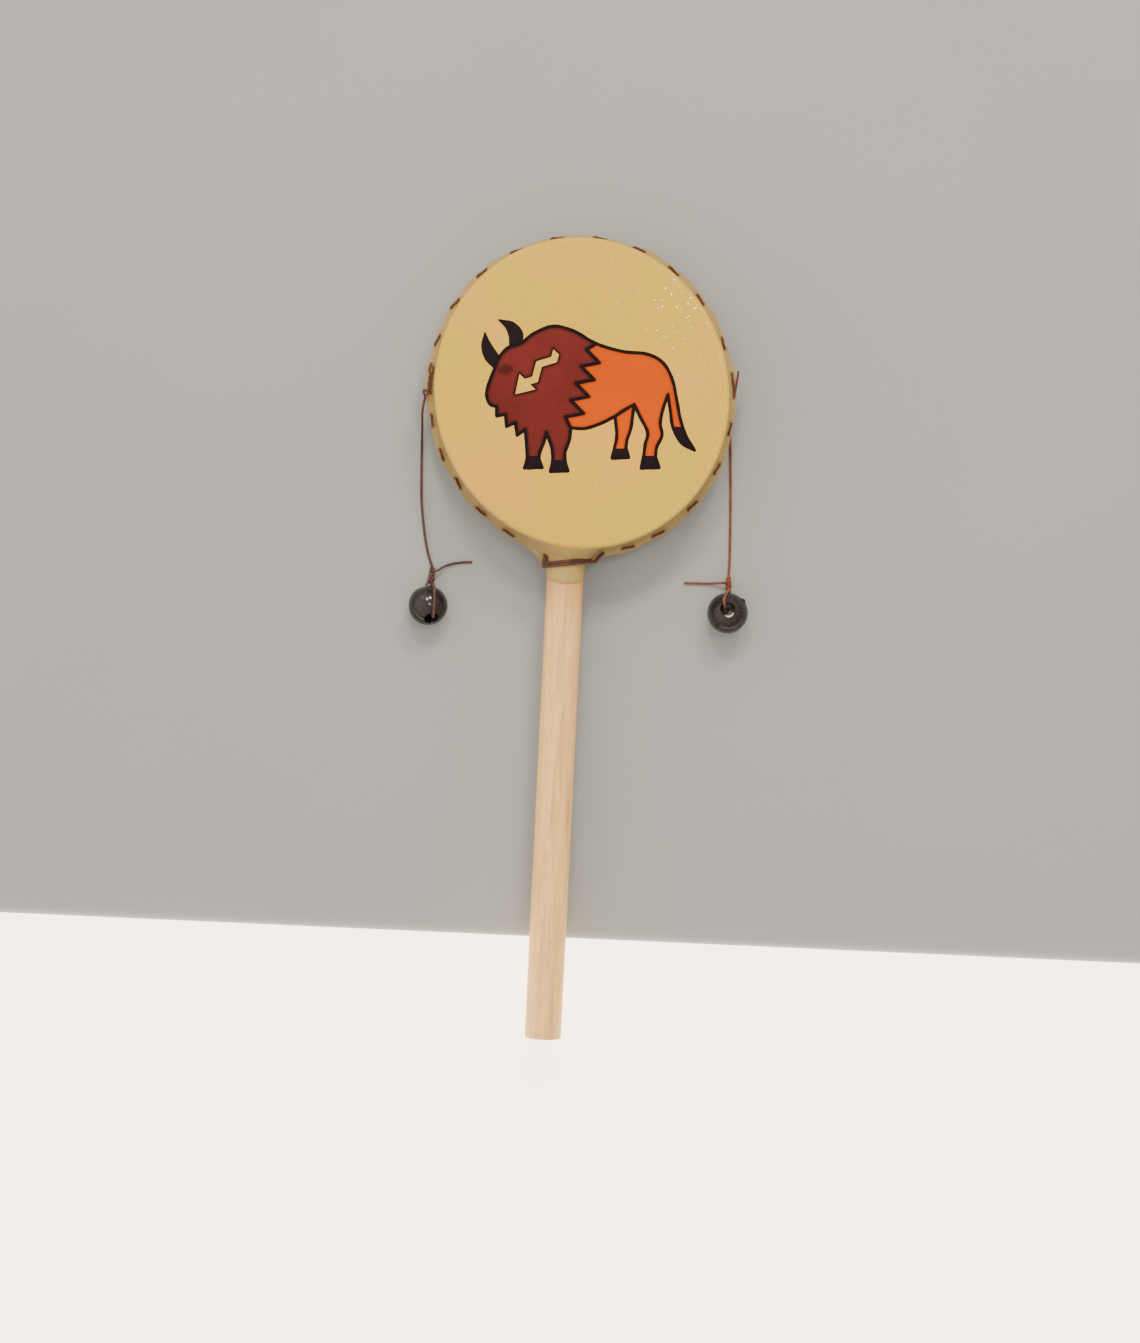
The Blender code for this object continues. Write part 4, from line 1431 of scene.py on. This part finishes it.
def long_grain_group():
    tree, entry, leave = group_tree(
        "long grain", "ShaderNodeTree", {"Place": "Vector"},
        {"Streaks": "Float", "Pores": "Float", "Bands": "Float", "Patches": "Float", "Normal": "Vector"})
    place = entry["Place"]

    def drawn_out(share):
        return vector_math(tree, "MULTIPLY", place, (1, share, 1))

    streaks = noise_value(tree, drawn_out(0.05), 900, 3, 0.0)
    pores = remap(tree, noise_value(tree, drawn_out(0.1), 2600, 2, 5.0), 0.57, 0.68)
    bands = remap(tree, noise_value(tree, drawn_out(0.06), 330, 2, 11.0), 0.52, 0.66)
    height = calculate(tree, "MULTIPLY_ADD", pores, -0.9, streaks)
    return give_out(tree, leave, {
        "Streaks": streaks, "Pores": pores, "Bands": bands, "Normal": bumped(tree, height, 0.45),
        "Patches": noise_value(tree, place, 55, 2, 9.0)})


def round_the_ring(tree, place):
    """The place as if the hoop were unrolled along the dowel's direction."""
    parts = add(tree, "ShaderNodeSeparateXYZ", {"Vector": place}).outputs
    turn = calculate(tree, "ARCTAN2", parts["Y"], parts["X"])
    inputs = {"X": vector_math(tree, "LENGTH", place, output="Value"),
              "Y": calculate(tree, "MULTIPLY", turn, FACE_HALF_WIDTH), "Z": parts["Z"]}
    return add(tree, "ShaderNodeCombineXYZ", inputs).outputs["Vector"]


def wood_finish(name, pale, warm, rolled=False):
    made, tree = principled(name)
    place = object_place(tree)
    if rolled:
        place = round_the_ring(tree, place)
    grain = add(tree, "ShaderNodeGroup", {"Place": place}, node_tree=long_grain).outputs
    # The last layer darkens the cut ends with dirt, and the handle near the head with painted shade.
    colour = overlaid(tree, pale,
                      (remap(tree, grain["Streaks"], 0.36, 0.64), warm),
                      (remap(tree, grain["Patches"], 0.5, 0.68, 0, 0.6), DOWEL_PINK),
                      (calculate(tree, "MULTIPLY", grain["Bands"], 0.4), DOWEL_BAND),
                      (calculate(tree, "MULTIPLY", grain["Pores"], 0.35), DOWEL_PORE),
                      (remap(tree, attribute(tree, "dirt_and_shade"), 0, 1, 0, 0.6), DOWEL_BAND))
    dress(tree, {"Base Color": colour, "Specular IOR Level": 0.3, "Normal": grain["Normal"],
                 "Roughness": calculate(tree, "MULTIPLY_ADD", grain["Streaks"], 0.2, 0.5)})
    return made


long_grain = long_grain_group()
dowel_wood = wood_finish("dowel wood", DOWEL_PALE, DOWEL_WARM)
hoop_wood = wood_finish("hoop wood", HOOP_PALE, HOOP_WARM, rolled=True)
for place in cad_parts["hoop"].material_slots:
    place.material = hoop_wood
print("wood finishes made")

# %% [markdown]
# A dowel could be a plain cylinder, but a real one isn't perfectly round or straight, and its end
# has been eased with sandpaper. Rings of points along it, each a little uneven, give that.

# %% Turn the handle
HANDLE_SIDES = 64
RING_EVERY = 3 * MM
END_EASE = 0.5 * MM
END_STEPS = 3
HANDLE_WAVE = 0.05 * MM
# Painted shade under the head: full this far down from the handle's top, then fading over the reach.
HEAD_SHADE_FROM = 14 * MM
HEAD_SHADE_REACH = 26 * MM


def handle_rings():
    """(distance along the handle, radius) from the top end to the foot."""
    first = HANDLE_TOP_Y - END_EASE
    last = HANDLE_END_Y + END_EASE
    count = round((first - last) / RING_EVERY)
    rings = [(first + (last - first) * i / count, HANDLE_RADIUS) for i in range(count + 1)]
    for step in range(1, END_STEPS + 1):
        turn = math.pi / 2 * step / END_STEPS
        ease = END_EASE * math.sin(turn)
        radius = HANDLE_RADIUS - END_EASE * (1 - math.cos(turn))
        rings = [(first + ease, radius)] + rings + [(last - ease, radius)]
    return rings


def turn_handle():
    working = bmesh.new()
    dirt_and_shade = working.verts.layers.float.new("dirt_and_shade")
    rings = []
    for y, radius in handle_rings():
        ring = []
        for i in range(HANDLE_SIDES):
            angle = 2 * math.pi * i / HANDLE_SIDES
            spoke = Vector((math.cos(angle), 0, math.sin(angle)))
            swell = noise.noise(Vector((spoke.x * 1.5, y * 60, spoke.z * 1.5))) * HANDLE_WAVE
            vert = working.verts.new(Vector((HANDLE_X, y, SEAM_Z)) + spoke * (radius + swell))
            # Painted shade from the head: darker towards the handle's top.
            vert[dirt_and_shade] = clamped(1 - (HANDLE_TOP_Y - HEAD_SHADE_FROM - y) / HEAD_SHADE_REACH)
            ring.append(vert)
        rings.append(ring)
    lay_quads(working, rings, True)
    # The cut ends, dark with dirt in the open fibres.
    for ring in (rings[0], rings[-1]):
        middle = working.verts.new(sum((v.co for v in ring), Vector()) / HANDLE_SIDES)
        for vert in (*ring, middle):
            vert[dirt_and_shade] = 1.0
        for vert, after in zip(ring, ring[1:] + ring[:1]):
            working.faces.new((vert, after, middle))
    return turned_piece("dowel_handle", working, dowel_wood, "dowel_wood", "handle")


print("handle faces:", len(turn_handle().data.polygons))

# %% [markdown]
# ## The lacing
# One cord sews the two hides together with a running stitch: over the front, down through a hole,
# under the back, up through the next. The route needs only the places of the stitches, so a loop
# works it out, and the twisted cord tree does the rest.

# %% Sew the seam
LACING_CORD = 0.9 * MM
LACE_HEIGHT = FLANGE_TOP + 0.42 * MM
DIP = 0.5
STITCH_SLANT = 0.2 * MM
UNDER_EVERY = 5
NECK_HOLE = -79.3
LAST_HOLE = 260.6


def under_the_back(start, end):
    """Points under the flange between two holes."""
    count = max(1, round((end - start) / UNDER_EVERY))
    return [seam_place(start + (end - start) * i / count, -LACE_HEIGHT) for i in range(1, count)]


def lacing_route():
    points = [seam_place(NECK_HOLE, 0)]
    before = NECK_HOLE
    for middle in DASHES:
        start, end = middle - DASH_HALF, middle + DASH_HALF
        points += under_the_back(before, start)
        points += [seam_place(start, -LACE_HEIGHT), seam_place(start, 0),
                   seam_place(start + DIP, LACE_HEIGHT, -STITCH_SLANT),
                   seam_place(middle, LACE_HEIGHT + 0.1 * MM),
                   seam_place(end - DIP, LACE_HEIGHT, STITCH_SLANT),
                   seam_place(end, 0), seam_place(end + DIP, -LACE_HEIGHT)]
        before = end + DIP
    return points + under_the_back(before, LAST_HOLE) + [seam_place(LAST_HOLE, 0)]


lacing = smooth_line(lacing_route(), 0.4 * MM)
cord_piece("lacing", [lacing], lacing_cord, ["seam_lacing"], diameter=LACING_CORD, turn=2.6 * MM)
print("cord in the lacing in mm:", round(length_of(lacing) / MM))

# %% [markdown]
# ## The neck binding
# Where the tongues cover the handle, the cord is wound round them one and a half times, so that it
# crosses the front twice, and pulled tight. A tight cord takes the shortest way, so in section it
# follows a circle over the round of the handle and a straight line to the flange's edge on each
# side. On the right it runs up to the first hole of the lacing, and on the left it is knotted.

# %% Bind the neck
BINDING_RADIUS = 7.6 * MM
RIGHT_EDGE = 9.2 * MM
LEFT_EDGE = 7.9 * MM
BINDING_Y = -58.35 * MM
BINDING_GAP = 1.05 * MM
BINDING_SLANT = 0.14
BINDING_STEP = 6
# Three half turns in degrees, a little short of the right edge.
BINDING_TOTAL = 3 * 180 - 14
BINDING_START = ((-9.7, -57.6, 15.6), (-10.3, -58.8, 14.2))
BINDING_RISE = ((7.4, -57.6, 13.9), (8.8, -56.0, 14.0), (10.2, -54.6, 13.7))
NECK_KNOT = ((-10.1, -55.5, 15.9), (-9.8, -58.0, 15.6), (-9.2, -56.3, 16.3))


def round_the_neck(degrees, y):
    """A point of the tight cord: 0 is the right edge, 90 the top, 180 the left edge."""
    turn = math.radians(degrees)
    edge = RIGHT_EDGE if math.cos(turn) > 0 else LEFT_EDGE
    touches = math.acos(BINDING_RADIUS / edge)
    from_side = math.acos(abs(math.cos(turn)))
    radius = BINDING_RADIUS / math.cos(max(0.0, touches - from_side))
    x, z = radius * math.cos(turn), radius * math.sin(turn)
    return Vector((HANDLE_X + x, y + BINDING_SLANT * x, SEAM_Z + z))


def binding_route():
    points = in_mm(BINDING_START)
    for degrees in range(BINDING_STEP, BINDING_TOTAL, BINDING_STEP):
        advance = BINDING_GAP * clamped((degrees - 180) / 180)
        points.append(round_the_neck(180 - degrees, BINDING_Y - BINDING_GAP / 2 + advance))
    return points + in_mm(BINDING_RISE) + [seam_place(NECK_HOLE, 0)]


binding = smooth_line(binding_route(), 0.35 * MM)
cord_piece("neck_turns", [binding], binding_cord, ["neck_binding"], diameter=1.2 * MM, turn=2.8 * MM)
knot_from, knot_to, knot_end = in_mm(NECK_KNOT)
neck_turns = winding(knot_from, knot_to, radius=0.5 * MM, turns=2.5, first_angle=0.6)
neck_knot = smooth_line(neck_turns + [knot_end], 0.25 * MM)
cord_piece("neck_wound_knot", [neck_knot], lacing_cord, ["neck_knot"], diameter=0.9 * MM, turn=2.4 * MM)

# %% [markdown]
# ## The ties at the rim
# On the left, two strands come out from under the flange, twist round each other and end in the
# knot that holds the free cord. On the right the cord is only looped through the seam, as a V.

# %% Tie the free cords to the seam
LEFT_TIES = (
    ((-52.2, 8.4, 14.1), (-52.9, 5.9, 14.2), (-52.0, 3.4, 14.5), (-53.0, 1.2, 14.3), (-52.3, -0.7, 14.5),
     (-53.2, -1.4, 14.6), (-54.2, -1.0, 14.9), (-54.6, -1.9, 14.8), (-53.7, -2.9, 14.9), (-53.0, -2.0, 15.1),
     (-53.8, -1.2, 15.2), (-54.5, -2.2, 14.9), (-53.9, -3.1, 14.8)),
    ((-51.6, 7.2, 14.0), (-51.6, 5.2, 14.5), (-52.8, 3.2, 14.1), (-52.0, 1.0, 14.5), (-52.8, -0.6, 14.1),
     (-52.2, -1.6, 13.9), (-51.9, -2.2, 13.4)),
)
RIGHT_TIES = (
    ((51.9, 10.4, 13.2), (52.2, 9.3, 13.8), (52.5, 7.2, 14.0), (52.9, 4.8, 14.0), (53.15, 3.0, 13.8)),
    ((54.25, 10.9, 12.9), (54.1, 9.9, 13.9), (53.85, 7.4, 14.1), (53.5, 4.8, 14.2), (53.15, 2.6, 14.2)),
)
for name, ties, nodes, diameter in (
        ("left_rim_strands", LEFT_TIES, ["left_rim_tie", "left_rim_knot"], 0.85 * MM),
        ("right_rim_strands", RIGHT_TIES, ["right_rim_tie"], 0.9 * MM)):
    runs = [smooth_line(in_mm(tie), 0.25 * MM) for tie in ties]
    cord_piece(name, runs, lacing_cord, nodes, diameter, turn=2.4 * MM)
